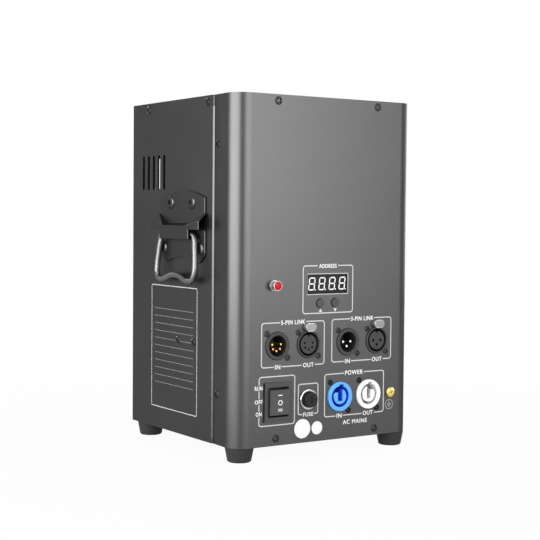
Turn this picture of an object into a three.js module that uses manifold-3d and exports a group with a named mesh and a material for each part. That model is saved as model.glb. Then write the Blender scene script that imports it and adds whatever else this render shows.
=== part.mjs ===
// Stage flame machine: a sheet-steel box that throws a short flame out of a bowl in its top.
// X points right, Y to the back and Z up. The origin is on the floor, under the middle of the machine.
// All lengths are in millimetres.
import * as THREE from 'three';
import { mergeVertices } from 'three/addons/utils/BufferGeometryUtils.js';
import Module from 'manifold-3d';

const wasm = await Module();
wasm.setup();

// Case
const caseWidth = 178;
const caseDepth = 174;
const caseHeight = 281;
const cornerRadius = 14;
const sheet = 1.5;
const returnDepth = 36.3;
const seamGap = 0.6;
const seamStep = 1.2;
const tongueReach = 14;
const tongueLap = 2.4;
const flangeHeight = 14;
const plateInset = 8;

// Clearances
const fit = 0.3;
const runningFit = 0.5;
const overrun = 2;
const weldDistance = 0.0001;

// Feet
const footHeight = 12;
const footInset = 12.3;
const footTopRadius = 11.8;
const footBottomRadius = 9.7;
const footEdge = 0.8;
const footScrewRadius = 3.4;
const footScrewDepth = 5;

// Vents
const ventWidth = 4;
const ventHeight = 30;
const ventPitch = 9.3;
const ventCount = 5;
const ventTopDown = 45.2;
const ventBackInset = 19.8;
const rearVentPitch = 8;
const rearVentCount = 4;
const rearVentInset = 17.8;
const rearVentTopDown = 46;

// Carrying handles
const handleShift = 3.5;
const pivotHeight = 169;
const handleSheet = 1.2;
const pivotStandOff = 5;
const crownHeight = 36.3;
const shoulderHeight = 29.8;
const upperHalfWidth = 37.7;
const earTopHeight = 17.7;
const earFoldHeight = 11;
const neckHalfWidth = 24;
const lowerTopHeight = 4;
const lowerHalfWidth = 38.2;
const lowerSideDrop = 17;
const lowerFootHalfWidth = 28.5;
const lowerFootDrop = 24.3;
const plateCorner = 2.5;
const archRise = 4.3;
const channelStandOff = 9.5;
const channelTopHeight = 6.6;
const channelDrop = 4.5;
const earHalfWidth = 41;
const earRootHalfWidth = 39;
const earBottomHeight = 3.5;
const creaseHalfWidth = 18.5;
const creaseRootHalfWidth = 22;
const creaseTopHeight = 9;
const foldShare = 0.75;
const lipHalfWidth = 22;
const bailRadius = 2.5;
const bailHalfWidth = 32;
const bailDrop = 39;
const bailRestAngle = THREE.MathUtils.degToRad(4);

// Places across the front, as shares of the case's half width
const fivePinInletShare = -0.55281;
const fivePinOutletShare = -0.21124;
const threePinInletShare = 0.23708;
const threePinOutletShare = 0.57865;
const powerInletShare = 0.14663;
const powerOutletShare = 0.48258;
const switchShare = -0.54831;
const fuseShare = -0.20899;
const lampShare = -0.59775;
const earthShare = 0.74607;

// Signal sockets
const signalRowHeight = 80.4;
const ringRadius = 11.4;
const ringProud = 1.2;
const ringEdge = 0.4;
const shellRadius = 10.9;
const shellDepth = 24;
const socketFlangeGap = 4.4;
const socketFlangeHeight = 26;
const socketFlangeThickness = 2.5;
const inletBoreRadius = 8.4;
const outletBoreRadius = 9.75;
const outletCoreRadius = 8;
const outletCoreSet = 0.2;
const insertThickness = 8;
const pinLength = 14.7;
const threePinRadius = 1.2;
const fivePinRadius = 0.95;
const threePinCircle = 3.8;
const fivePinCircle = 4.3;
const threePinSpread = THREE.MathUtils.degToRad(90);
const fivePinSpread = THREE.MathUtils.degToRad(52);
const contactPlay = 0.1;
const contactHoleDepth = 8;
const keyWidth = 2;
const keyDepth = 1.8;
const latchWidth = 10.4;
const latchHeight = 6.7;
const latchUp = 14;
const latchProud = 4.5;
const latchShank = 9;
const latchTravel = 2.5;
const latchPocketWall = 1.6;

// Power sockets
const powerRowHeight = 35.4;
const powerRingRadius = 12.4;
const powerRingProud = 1.9;
const powerBodyRadius = 11.6;
const powerDepth = 26;
const powerFlangeHeight = 31;
const powerBoreRadius = 8.7;
const powerBoreDepth = 18;
const powerIslandRadius = 6.6;
const powerIslandProud = 1.5;
const powerSlotWidth = 4.4;
const powerSlotDrop = 3.7;
const shortArmRise = 3.6;
const shortArmDepth = 6;
const notchWidth = 4;
const notchReach = 1.3;
const notchDepth = 5;
const notchShift = 1;

// Switch
const bezelWidth = 25.6;
const bezelHeight = 31.7;
const bezelThickness = 2;
const switchBodyWidth = 21.8;
const switchBodyHeight = 27.8;
const switchDepth = 26;
const rockerWidth = 18.8;
const rockerHeight = 21.6;
const rockerFaceHeight = 20.4;
const rockerProud = 4.5;
const rockerSideGap = 0.3;
const rockerEndGap = 1.2;
const rockerPivotSet = 1;
const rockerFloorSet = 5;
const rockerThickness = 6.5;
const rockerHeelShare = 0.74;
const axleRadius = 1.5;
const axleBite = 0.8;
const terminalWidth = 6;
const terminalThickness = 0.8;
const terminalLength = 7;
const terminalPitch = 9;

// Fuse
const fuseRingRadius = 8.5;
const fuseRingThickness = 1.4;
const fuseBodyRadius = 6.2;
const fuseBoreRadius = 5;
const fuseDepth = 36;
const fuseWall = 2;
const fuseCapRadius = 6.9;
const fuseCapFaceRadius = 6.3;
const fuseCapProud = 5.6;
const fuseCapEdge = 0.5;
const fuseShankLength = 10;
const fuseClipRadius = 2.8;
const fuseGlassRadius = 2.5;
const fuseGlassLength = 20;
const crossWidth = 1;
const crossLength = 6;
const crossDepth = 1;

// Indicator lamp
const lampHeight = 129;
const lampHeadRadius = 4.1;
const lampHeadLength = 2;
const lampProud = 6.4;
const lampFlangeRadius = 4.4;
const lampFlangeThickness = 0.7;
const lampShankRadius = 3.4;
const lampBoreRadius = 2.8;
const lampRimWall = 0.5;
const lampLensProud = 7;
const lensCrownShare = 0.6;
const lampDepth = 9;
const lampEdge = 0.2;

// Display and buttons
const displayHeight = 129.1;
const displayWidth = 39.2;
const displayTall = 15;
const displayDepth = 6.9;
const displaySet = 0.4;
const boardWidth = 54;
const boardTall = 43;
const boardHeight = 124.5;
const boardThickness = 1.6;
const buttonHeight = 113.4;
const buttonPitch = 15;
const buttonRadius = 3.75;
const buttonProud = 1.3;
const buttonEdge = 0.3;
const buttonCollar = 1.05;
const buttonCollarThickness = 1.3;
const buttonTravel = 0.6;
const tactWidth = 6.2;
const studRadius = 2;
const studInset = 3;
const chipWidth = 14;
const chipTall = 9;
const chipDeep = 3;

// Earth screw
const earthHeadRadius = 4.3;
const earthHeadProud = 2;
const earthShankRadius = 1.9;
const earthShankLength = 9;
const earthNutRadius = 4;
const earthNutThickness = 3;

// Flame bowl, nozzle and electrodes
const bowlRimRadius = 53;
const bowlMouthRadius = 45;
const bowlFloorRadius = 30;
const bowlDepth = 27;
const bowlSheet = 1.2;
const nozzleHoleRadius = 4.6;
const nozzleStemRadius = 4;
const nozzleBoreRadius = 1;
const nozzleNutRadius = 6.6;
const nozzleNutHeight = 4;
const nozzleTipRadius = 2.4;
const nozzleTipHeight = 5.5;
const blockRadius = 12;
const blockHeight = 26.6;
const blockSocket = 10;
const blockSeatRadius = 2.4;
const deckDown = 55.5;
const deckDepth = 58;
const deckShift = -5;
const deckFlange = 36;
const electrodeOffset = 15;
const ceramicRadius = 3;
const ceramicAbove = 14.5;
const ceramicBelow = 11;
const ceramicFlangeRadius = 5;
const ceramicFlangeHeight = 2;
const wireRadius = 0.9;
const wireTail = 6;
const wireRise = 5.5;
const sparkHalfGap = 3.5;

// Fuel can, its lift and its return spring
const liftTravel = 3;
const canRadius = 26.5;
const canWall = 1;
const canDome = 11;
const canRimRadius = 16;
const canRimHeight = 2.6;
const canPedestalRadius = 5;
const canPedestalHeight = 2;
const canStemRadius = 2;
const canStemHeight = 4.4;
const stemBite = 1;
const canVentRadius = 4;
const cupWall = 1.5;
const cupFloor = 2;
const cupHeight = 30;
const solenoidWidth = 36;
const solenoidDepth = 28;
const solenoidHeight = 36;
const solenoidIron = 3;
const coilRadius = 12;
const coilBoreRadius = 5;
const plungerRadius = 4.5;
const plungerRodRadius = 2.5;
const springRadius = 19;
const springWireRadius = 0.8;
const springTurns = 6;
const springStepsPerTurn = 8;
const springSides = 5;

// Ignition module, its leads and the power supply
const moduleThick = 28;
const moduleDepth = 67;
const moduleTall = 56;
const moduleLow = 50;
const moduleShift = -8.5;
const postRadius = 3;
const postHeight = 3;
const postSpread = 18;
const leadRadius = 2;
const leadHoleRadius = 5;
const leadTurn = 8;
const leadHoles = [[-37, -12], [-36, 14]];
const supplyThick = 30;
const supplyDepth = 84;
const supplyTall = 78;
const supplyLow = 38;
const stripThick = 12;
const stripTall = 9;

// Rear door, hinge and latch
const doorVentGap = 5.2;
const doorLow = 8;
const doorTopDown = 65;
const doorLap = 7;
const doorCorner = 4;
const doorOpeningCorner = 3;
const hingeLength = 172;
const hingeLeaf = 1;
const hingeReach = 12;
const knuckleRadius = 2.2;
const knuckleBoreRadius = 1.4;
const hingePinRadius = 1.1;
const knuckleCount = 5;
const knuckleGap = 0.6;
const latchInset = 16;
const knobRadius = 8;
const knobProud = 4.9;
const knobSlotWidth = 1.6;
const knobSlotDepth = 1.4;
const latchShaftRadius = 2.5;
const camLength = 15;
const camWidth = 8;
const camThickness = 1.5;

// Counts of facets
const wideSides = 32;
const roundSides = 24;
const smallSides = 16;
const tinySides = 8;
const cornerSteps = 8;
const slotSteps = 4;
const bailSteps = 42;
const leadSteps = 22;
const wireSteps = 12;
const wireSides = 6;

// Finishes: colour, roughness and metalness
const powderCoat = { color: 0x5c5d5f, roughness: 0.5, metalness: 0.35 };
const handleSteel = { color: 0x4a4a4a, roughness: 0.42, metalness: 0.6 };
const bailSteel = { color: 0x6a6a6a, roughness: 0.35, metalness: 0.8 };
const blackPlastic = { color: 0x1c1c1d, roughness: 0.5, metalness: 0 };
const rubber = { color: 0x1a1a1b, roughness: 0.85, metalness: 0 };
const nickel = { color: 0xb9b9b6, roughness: 0.28, metalness: 1 };
const stainless = { color: 0x9c9c9a, roughness: 0.35, metalness: 1 };
const brass = { color: 0xc8a24a, roughness: 0.32, metalness: 1 };
const blueSocket = { color: 0x2f7be0, roughness: 0.4, metalness: 0 };
const whiteSocket = { color: 0xdedede, roughness: 0.4, metalness: 0 };
const redLens = { color: 0xd8201c, roughness: 0.2, metalness: 0 };
const board = { color: 0x1f5a34, roughness: 0.6, metalness: 0 };
const ceramic = { color: 0xe9e6dc, roughness: 0.35, metalness: 0 };
const glass = { color: 0xd9e4e6, roughness: 0.05, metalness: 0 };
const canPaint = { color: 0xb4b8bd, roughness: 0.35, metalness: 0.7 };
const copperCoil = { color: 0x9a4f28, roughness: 0.5, metalness: 0.4 };
const moduleResin = { color: 0x26282b, roughness: 0.6, metalness: 0 };
const leadSilicone = { color: 0xb3261e, roughness: 0.55, metalness: 0 };
const zinc = { color: 0x8d9093, roughness: 0.45, metalness: 0.9 };

// Angles
const fullTurn = Math.PI * 2;
const halfTurn = Math.PI;
const quarterTurn = Math.PI / 2;

// A closed solid from any geometry whose faces meet, turned so that its faces point out
function solidOf(geometry) {
  const bare = geometry.index ? geometry.toNonIndexed() : geometry.clone();
  bare.deleteAttribute('normal');
  bare.deleteAttribute('uv');
  const merged = mergeVertices(bare, weldDistance);
  const place = merged.attributes.position;
  const corners = [];
  const [a, b, c] = [new THREE.Vector3(), new THREE.Vector3(), new THREE.Vector3()];
  let volume = 0;
  for (let i = 0; i < merged.index.count; i += 3) {
    const [p, q, r] = [merged.index.getX(i), merged.index.getX(i + 1), merged.index.getX(i + 2)];
    if (p === q || q === r || r === p) continue;
    corners.push([p, q, r]);
    a.fromBufferAttribute(place, p);
    b.fromBufferAttribute(place, q);
    c.fromBufferAttribute(place, r);
    volume += a.dot(b.cross(c));
  }
  const outward = volume < 0 ? corners.map(([p, q, r]) => [p, r, q]) : corners;
  return new wasm.Manifold(new wasm.Mesh({
    numProp: 3,
    vertProperties: new Float32Array(place.array),
    triVerts: new Uint32Array(outward.flat()),
  }));
}

// A box between two corners
function block([x0, x1], [y0, y1], [z0, z1]) {
  const geometry = new THREE.BoxGeometry(x1 - x0, y1 - y0, z1 - z0);
  geometry.translate((x0 + x1) / 2, (y0 + y1) / 2, (z0 + z1) / 2);
  return solidOf(geometry);
}

// A round bar along Z between two heights
function bar(radius, [z0, z1], [x, y] = [0, 0], sides = roundSides) {
  const geometry = new THREE.CylinderGeometry(radius, radius, z1 - z0, sides);
  geometry.rotateX(quarterTurn);
  geometry.translate(x, y, (z0 + z1) / 2);
  return solidOf(geometry);
}

// A round bar along X
function crossBar(radius, [x0, x1], [y, z], sides = smallSides) {
  const geometry = new THREE.CylinderGeometry(radius, radius, x1 - x0, sides);
  geometry.rotateZ(quarterTurn);
  geometry.translate((x0 + x1) / 2, y, z);
  return solidOf(geometry);
}

// A piece turned about Z from points of radius and height
function turned(points, [x, y] = [0, 0], sides = roundSides) {
  const outline = points.map(([radius, height]) => new THREE.Vector2(radius, height));
  const geometry = new THREE.LatheGeometry(outline, sides);
  geometry.rotateX(quarterTurn);
  geometry.translate(x, y, 0);
  return solidOf(geometry);
}

// A turned ring, whose outline closes on itself
function turnedRing(points, at, sides) {
  return turned([...points, points[0]], at, sides);
}

// An outline given a thickness along Z
function slab(shape, [z0, z1], steps = cornerSteps) {
  const geometry = new THREE.ExtrudeGeometry(shape, {
    depth: z1 - z0, bevelEnabled: false, curveSegments: steps,
  });
  geometry.translate(0, 0, z0);
  return solidOf(geometry);
}

// An outline of stand-off and height, drawn along X over the given stretch
function drawnAcross(points, [x0, x1]) {
  const shape = new THREE.Shape(points.map(([standOff, height]) => new THREE.Vector2(-standOff, height)));
  const geometry = new THREE.ExtrudeGeometry(shape, { depth: x1 - x0, bevelEnabled: false });
  geometry.translate(0, 0, x0);
  geometry.rotateY(quarterTurn);
  return solidOf(geometry);
}

// A round rod along a curve
function rod(curve, radius, steps, sides) {
  const section = new THREE.Shape();
  for (let i = 0; i < sides; i += 1) {
    const angle = fullTurn * i / sides;
    const [x, y] = [radius * Math.cos(angle), radius * Math.sin(angle)];
    if (i === 0) section.moveTo(x, y);
    else section.lineTo(x, y);
  }
  section.closePath();
  return solidOf(new THREE.ExtrudeGeometry(section, { steps, bevelEnabled: false, extrudePath: curve }));
}

// A rectangle with round corners
function roundedRectangle([x0, x1], [y0, y1], radius, Kind = THREE.Shape) {
  const outline = new Kind();
  outline.moveTo(x0 + radius, y0);
  outline.absarc(x1 - radius, y0 + radius, radius, -quarterTurn, 0, false);
  outline.absarc(x1 - radius, y1 - radius, radius, 0, quarterTurn, false);
  outline.absarc(x0 + radius, y1 - radius, radius, quarterTurn, halfTurn, false);
  outline.absarc(x0 + radius, y0 + radius, radius, halfTurn, halfTurn + quarterTurn, false);
  outline.closePath();
  return outline;
}

// A hole with half-round ends, standing upright
function uprightSlot(x, [y0, y1], width) {
  const radius = width / 2;
  const hole = new THREE.Path();
  hole.moveTo(x + radius, y0 + radius);
  hole.absarc(x, y1 - radius, radius, 0, halfTurn, false);
  hole.absarc(x, y0 + radius, radius, halfTurn, fullTurn, false);
  hole.closePath();
  return hole;
}

// An even row of places about a middle
function row(count, pitch, middle = 0) {
  return Array.from({ length: count }, (unused, i) => middle + (i - (count - 1) / 2) * pitch);
}

// The scene: each wall is a group in which X runs to the right, Y up and Z out of the wall
const machine = new THREE.Group();
machine.name = 'stage_flame_machine';

function wall(name, turn, distance) {
  const group = new THREE.Group();
  group.name = name;
  group.rotation.set(quarterTurn, 0, turn, 'ZYX');
  group.position.set(distance * Math.sin(turn), -distance * Math.cos(turn), 0);
  machine.add(group);
  return group;
}

const frontWall = wall('front_wall', 0, caseDepth / 2);
const leftWall = wall('left_wall', -quarterTurn, caseWidth / 2);
const rightWall = wall('right_wall', quarterTurn, caseWidth / 2);
const backWall = wall('back_wall', halfTurn, caseDepth / 2);

function add(name, solid, finish, parent = machine, [x, y, z] = [0, 0, 0]) {
  const { vertProperties, triVerts } = solid.getMesh();
  const geometry = new THREE.BufferGeometry();
  geometry.setAttribute('position', new THREE.BufferAttribute(new Float32Array(vertProperties), 3));
  geometry.setIndex(new THREE.BufferAttribute(new Uint32Array(triVerts), 1));
  geometry.computeVertexNormals();
  const mesh = new THREE.Mesh(geometry, new THREE.MeshStandardMaterial(finish));
  mesh.name = name;
  mesh.position.set(x, y, z);
  parent.add(mesh);
  return mesh;
}

const caseBottom = footHeight;
const caseTop = footHeight + caseHeight;
const halfWidth = caseWidth / 2;
const halfDepth = caseDepth / 2;
const panelBack = -sheet;
const behindPanel = panelBack - fit;
const seamPlace = halfDepth - returnDepth;

// Base pan and top cover: flat sheets inside the walls, with flanges that the walls are fixed to
const panInset = sheet + fit;
const panHalfWidth = halfWidth - panInset;
const panHalfDepth = halfDepth - panInset;
const panCorner = cornerRadius - panInset;
const baseFloor = caseBottom + sheet;
const coverUnderside = caseTop - sheet;

function panOutline() {
  const frontHalf = panHalfWidth - seamStep;
  const bend = [frontHalf - panCorner, panCorner - panHalfDepth];
  const outline = new THREE.Shape();
  outline.moveTo(-panHalfWidth, panHalfDepth);
  outline.lineTo(-panHalfWidth, -seamPlace);
  outline.lineTo(-frontHalf, -seamPlace);
  outline.lineTo(-frontHalf, bend[1]);
  outline.absarc(-bend[0], bend[1], panCorner, halfTurn, halfTurn + quarterTurn, false);
  outline.absarc(bend[0], bend[1], panCorner, -quarterTurn, 0, false);
  outline.lineTo(frontHalf, -seamPlace);
  outline.lineTo(panHalfWidth, -seamPlace);
  outline.lineTo(panHalfWidth, panHalfDepth);
  outline.closePath();
  return outline;
}

function panFlanges(solid, heights) {
  const frontHalf = halfWidth - cornerRadius - sheet;
  const sideFront = tongueLap + runningFit - seamPlace;
  const sideBack = panHalfDepth - plateInset;
  const rearHalf = panHalfWidth - plateInset;
  return solid
    .add(block([-frontHalf, frontHalf], [-panHalfDepth, sheet - panHalfDepth], heights))
    .add(block([-rearHalf, rearHalf], [panHalfDepth - sheet, panHalfDepth], heights))
    .add(block([-panHalfWidth, sheet - panHalfWidth], [sideFront, sideBack], heights))
    .add(block([panHalfWidth - sheet, panHalfWidth], [sideFront, sideBack], heights));
}

function addBasePan() {
  const floor = slab(panOutline(), [caseBottom, baseFloor]);
  add('base_pan', panFlanges(floor, [caseBottom, baseFloor + flangeHeight]), powderCoat);
}

function addTopCover() {
  const plan = panOutline();
  const hole = new THREE.Path();
  hole.absarc(0, 0, bowlMouthRadius + fit, 0, fullTurn, false);
  plan.holes.push(hole);
  const lid = slab(plan, [coverUnderside, caseTop], cornerSteps * 2);
  add('top_cover', panFlanges(lid, [coverUnderside - flangeHeight, caseTop]), powderCoat);
}

// Side panels, each with vents and a tongue that reaches in behind the front cover
function addSidePanel(name, parent, forward) {
  const seam = forward * seamPlace;
  const back = -forward * halfDepth;
  const outline = new THREE.Shape();
  outline.moveTo(back, caseBottom);
  outline.lineTo(seam, caseBottom);
  outline.lineTo(seam, caseTop);
  outline.lineTo(back, caseTop);
  outline.closePath();
  const ventTop = caseTop - ventTopDown;
  for (let i = 0; i < ventCount; i += 1) {
    const inset = ventBackInset + ventPitch * i;
    outline.holes.push(uprightSlot(back + forward * inset, [ventTop - ventHeight, ventTop], ventWidth));
  }
  const tongueFace = behindPanel - seamStep;
  const tongueSet = tongueFace - sheet;
  const tongueHeights = [baseFloor + fit, coverUnderside - fit];
  const tongueBack = forward * (seamPlace - tongueLap);
  const tongueFront = forward * (seamPlace + tongueReach);
  const jogFront = forward * (seamPlace - tongueLap + sheet);
  const stretch = (p, q) => [Math.min(p, q), Math.max(p, q)];
  const panel = slab(outline, [panelBack, 0], slotSteps)
    .add(block(stretch(tongueBack, tongueFront), tongueHeights, [tongueSet, tongueFace]))
    .add(block(stretch(tongueBack, jogFront), tongueHeights, [tongueSet, panelBack / 2]));
  add(name, panel, powderCoat, parent);
}

// Front cover: one sheet bent round both front corners, with the cut-outs of everything it carries
const signalRow = caseBottom + signalRowHeight;
const powerRow = caseBottom + powerRowHeight;
const acrossFront = (share) => share * halfWidth;
const fivePinPair = [acrossFront(fivePinInletShare), acrossFront(fivePinOutletShare)];
const threePinPair = [acrossFront(threePinInletShare), acrossFront(threePinOutletShare)];
const powerPair = [acrossFront(powerInletShare), acrossFront(powerOutletShare)];
const signalPairs = { five_pin: fivePinPair, three_pin: threePinPair };
const switchPlace = [acrossFront(switchShare), powerRow];
const fusePlace = [acrossFront(fuseShare), powerRow];
const earthPlace = [acrossFront(earthShare), powerRow];
const lampPlace = [acrossFront(lampShare), caseBottom + lampHeight];
const displayPlace = caseBottom + displayHeight;
const boardPlace = caseBottom + boardHeight;
const buttonPlace = caseBottom + buttonHeight;
const boardFront = behindPanel - displayDepth + displaySet;
const cutThrough = [panelBack - overrun, overrun];

function coverOutline() {
  const innerCorner = cornerRadius - sheet;
  const innerHalf = halfWidth - sheet;
  const bendHalf = halfWidth - cornerRadius;
  const returnEnd = returnDepth - seamGap;
  const outline = new THREE.Shape();
  outline.moveTo(seamStep - halfWidth, returnEnd);
  outline.lineTo(-halfWidth, cornerRadius);
  outline.absarc(-bendHalf, cornerRadius, cornerRadius, halfTurn, halfTurn + quarterTurn, false);
  outline.absarc(bendHalf, cornerRadius, cornerRadius, -quarterTurn, 0, false);
  outline.lineTo(halfWidth - seamStep, returnEnd);
  outline.lineTo(innerHalf - seamStep, returnEnd);
  outline.absarc(bendHalf, cornerRadius, innerCorner, 0, -quarterTurn, true);
  outline.absarc(-bendHalf, cornerRadius, innerCorner, -quarterTurn, -halfTurn, true);
  outline.lineTo(seamStep - innerHalf, returnEnd);
  outline.closePath();
  return outline;
}

function latchOutline(place, clearance) {
  const across = latchWidth / 2 + clearance;
  const up = latchHeight / 2 + clearance;
  const middle = signalRow + latchUp;
  return roundedRectangle([place - across, place + across], [middle - up, middle + up], up - clearance);
}

function addFrontCover() {
  const bent = new THREE.ExtrudeGeometry(coverOutline(), {
    depth: caseHeight, bevelEnabled: false, curveSegments: cornerSteps,
  });
  bent.rotateX(-quarterTurn);
  bent.translate(0, caseBottom, 0);
  let cover = solidOf(bent);
  for (const [inlet, outlet] of Object.values(signalPairs)) {
    cover = cover.subtract(bar(ringRadius + fit, cutThrough, [inlet, signalRow]));
    cover = cover.subtract(bar(ringRadius + fit, cutThrough, [outlet, signalRow]));
    cover = cover.subtract(slab(latchOutline(outlet, fit), cutThrough, slotSteps));
  }
  for (const place of powerPair) {
    cover = cover.subtract(bar(powerRingRadius + fit, cutThrough, [place, powerRow]));
  }
  const switchHalf = switchBodyWidth / 2 + fit;
  const switchRise = switchBodyHeight / 2 + fit;
  const [switchAcross, switchUp] = switchPlace;
  cover = cover.subtract(block(
    [switchAcross - switchHalf, switchAcross + switchHalf],
    [switchUp - switchRise, switchUp + switchRise],
    cutThrough,
  ));
  cover = cover.subtract(bar(fuseBodyRadius + fit, cutThrough, fusePlace));
  cover = cover.subtract(bar(lampShankRadius + fit, cutThrough, lampPlace, smallSides));
  cover = cover.subtract(bar(earthShankRadius + fit, cutThrough, earthPlace, smallSides));
  const windowHalf = displayWidth / 2 + fit;
  const windowRise = displayTall / 2 + fit;
  cover = cover.subtract(block(
    [-windowHalf, windowHalf], [displayPlace - windowRise, displayPlace + windowRise], cutThrough));
  for (const place of row(2, buttonPitch)) {
    cover = cover.subtract(bar(buttonRadius + fit, cutThrough, [place, buttonPlace], smallSides));
  }
  for (const across of row(2, boardWidth - studInset * 2)) {
    for (const up of row(2, boardTall - studInset * 2, boardPlace)) {
      cover = cover.add(bar(studRadius, [boardFront + fit, panelBack / 2], [across, up], tinySides));
    }
  }
  add('front_cover', cover, powderCoat, frontWall);
}

// Rear frame and door
const innermostVent = halfWidth - rearVentInset - rearVentPitch * (rearVentCount - 1);
const doorHalfWidth = innermostVent - ventWidth / 2 - doorVentGap;
const doorBottom = caseBottom + doorLow;
const doorTop = caseTop - doorTopDown;
const doorBack = fit;
const doorFace = doorBack + sheet;
const openingHalf = doorHalfWidth - doorLap;
const latchPlace = [openingHalf + doorLap - latchInset, (doorBottom + doorTop) / 2];

function addRearFrame() {
  const outline = new THREE.Shape();
  outline.moveTo(-panHalfWidth, caseBottom);
  outline.lineTo(panHalfWidth, caseBottom);
  outline.lineTo(panHalfWidth, caseTop);
  outline.lineTo(-panHalfWidth, caseTop);
  outline.closePath();
  outline.holes.push(roundedRectangle(
    [-openingHalf, openingHalf], [doorBottom + doorLap, doorTop - doorLap], doorOpeningCorner, THREE.Path));
  const ventTop = caseTop - rearVentTopDown;
  for (let i = 0; i < rearVentCount; i += 1) {
    const across = halfWidth - rearVentInset - rearVentPitch * i;
    for (const side of [-across, across]) {
      outline.holes.push(uprightSlot(side, [ventTop - ventHeight, ventTop], ventWidth));
    }
  }
  add('rear_frame', slab(outline, [panelBack, 0], slotSteps), powderCoat, backWall);
}

function addRearDoor() {
  const outline = roundedRectangle([-doorHalfWidth, doorHalfWidth], [doorBottom, doorTop], doorCorner);
  const hole = new THREE.Path();
  hole.absarc(...latchPlace, latchShaftRadius + fit, 0, fullTurn, false);
  outline.holes.push(hole);
  add('rear_door', slab(outline, [doorBack, doorFace], slotSteps), powderCoat, backWall);
}

// Hinge: two leaves whose knuckles share one pin
function addHinge() {
  const axis = [-doorHalfWidth - knuckleRadius - fit, doorFace + fit + hingeLeaf / 2];
  const middle = (doorBottom + doorTop) / 2;
  const low = middle - hingeLength / 2;
  const pitch = hingeLength / knuckleCount;
  const turnedUp = (radius, [y0, y1], sides) => {
    const geometry = new THREE.CylinderGeometry(radius, radius, y1 - y0, sides);
    geometry.translate(axis[0], (y0 + y1) / 2, axis[1]);
    return solidOf(geometry);
  };
  const bore = turnedUp(knuckleBoreRadius, [low - overrun, low + hingeLength + overrun], tinySides);
  const leaf = (first, plate) => {
    let solid = plate;
    for (let i = 0; i < knuckleCount; i += 1) {
      const stretch = [low + pitch * i + knuckleGap / 2, low + pitch * (i + 1) - knuckleGap / 2];
      if (i % 2 === first) {
        solid = solid.add(turnedUp(knuckleRadius, stretch, smallSides));
      } else {
        const reach = knuckleRadius + fit;
        solid = solid.subtract(block([axis[0] - reach, axis[0] + reach],
          [stretch[0] - knuckleGap, stretch[1] + knuckleGap], [-overrun, doorFace + knuckleRadius * 2]));
      }
    }
    return solid.subtract(bore);
  };
  const ends = [low + knuckleGap / 2, low + hingeLength - knuckleGap / 2];
  const frameLeaf = block([axis[0] - hingeReach, axis[0]], ends, [fit, fit + hingeLeaf]);
  const leafBack = doorFace + fit;
  const doorLeaf = block([axis[0], axis[0] + hingeReach], ends, [leafBack, leafBack + hingeLeaf]);
  add('hinge_leaf_frame', leaf(0, frameLeaf), handleSteel, backWall);
  add('hinge_leaf_door', leaf(1, doorLeaf), handleSteel, backWall);
  add('hinge_pin', turnedUp(hingePinRadius, [low, low + hingeLength], tinySides), zinc, backWall);
}

// Door latch: a slotted knob whose shaft turns a cam behind the frame
function addDoorLatch() {
  const camBack = -sheet - runningFit - camThickness;
  const knobFace = doorFace + fit + knobProud;
  const shaft = bar(latchShaftRadius, [camBack - sheet, doorFace + runningFit], latchPlace, smallSides);
  const [x, y] = latchPlace;
  const knob = turned([
    [0, doorFace + fit], [knobRadius, doorFace + fit], [knobRadius, knobFace - knobSlotDepth / 2],
    [knobRadius - knobSlotDepth / 2, knobFace], [0, knobFace],
  ], latchPlace)
    .add(shaft)
    .subtract(block([x - knobRadius, x + knobRadius], [y - knobSlotWidth / 2, y + knobSlotWidth / 2],
      [knobFace - knobSlotDepth, knobFace + overrun]));
  const half = camWidth / 2;
  const cam = slab(roundedRectangle([x - half, x + half], [y - half, y + camLength], half - fit),
    [camBack, camBack + camThickness], slotSteps)
    .subtract(bar(latchShaftRadius + fit, [camBack - overrun, overrun], latchPlace, smallSides));
  add('latch_knob', knob, nickel, backWall);
  add('latch_cam', cam, zinc, backWall);
}

// Feet
function addFeet() {
  const outline = [
    [0, footScrewDepth], [footScrewRadius, footScrewDepth], [footScrewRadius, 0],
    [footBottomRadius - footEdge, 0], [footBottomRadius, footEdge], [footTopRadius, footHeight - fit],
    [0, footHeight - fit],
  ];
  const foot = turned(outline);
  const places = { left: footInset - halfWidth, right: halfWidth - footInset };
  for (const [side, x] of Object.entries(places)) {
    add(`front_${side}_foot`, foot, rubber, machine, [x, footInset - halfDepth, 0]);
    add(`rear_${side}_foot`, foot, rubber, machine, [x, halfDepth - footInset, 0]);
  }
}

// Carrying handles: a pressed plate with a raised channel, and a wire bail that hangs from it
const plateFace = fit + handleSheet;

// Draws on to a corner of an outline and rounds it towards the next point
function bendTo(outline, corner, next, radius = plateCorner) {
  const at = new THREE.Vector2(...corner);
  const start = outline.currentPoint.clone().sub(at).setLength(radius).add(at);
  const end = new THREE.Vector2(...next).sub(at).setLength(radius).add(at);
  outline.lineTo(start.x, start.y);
  outline.quadraticCurveTo(at.x, at.y, end.x, end.y);
}

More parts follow.
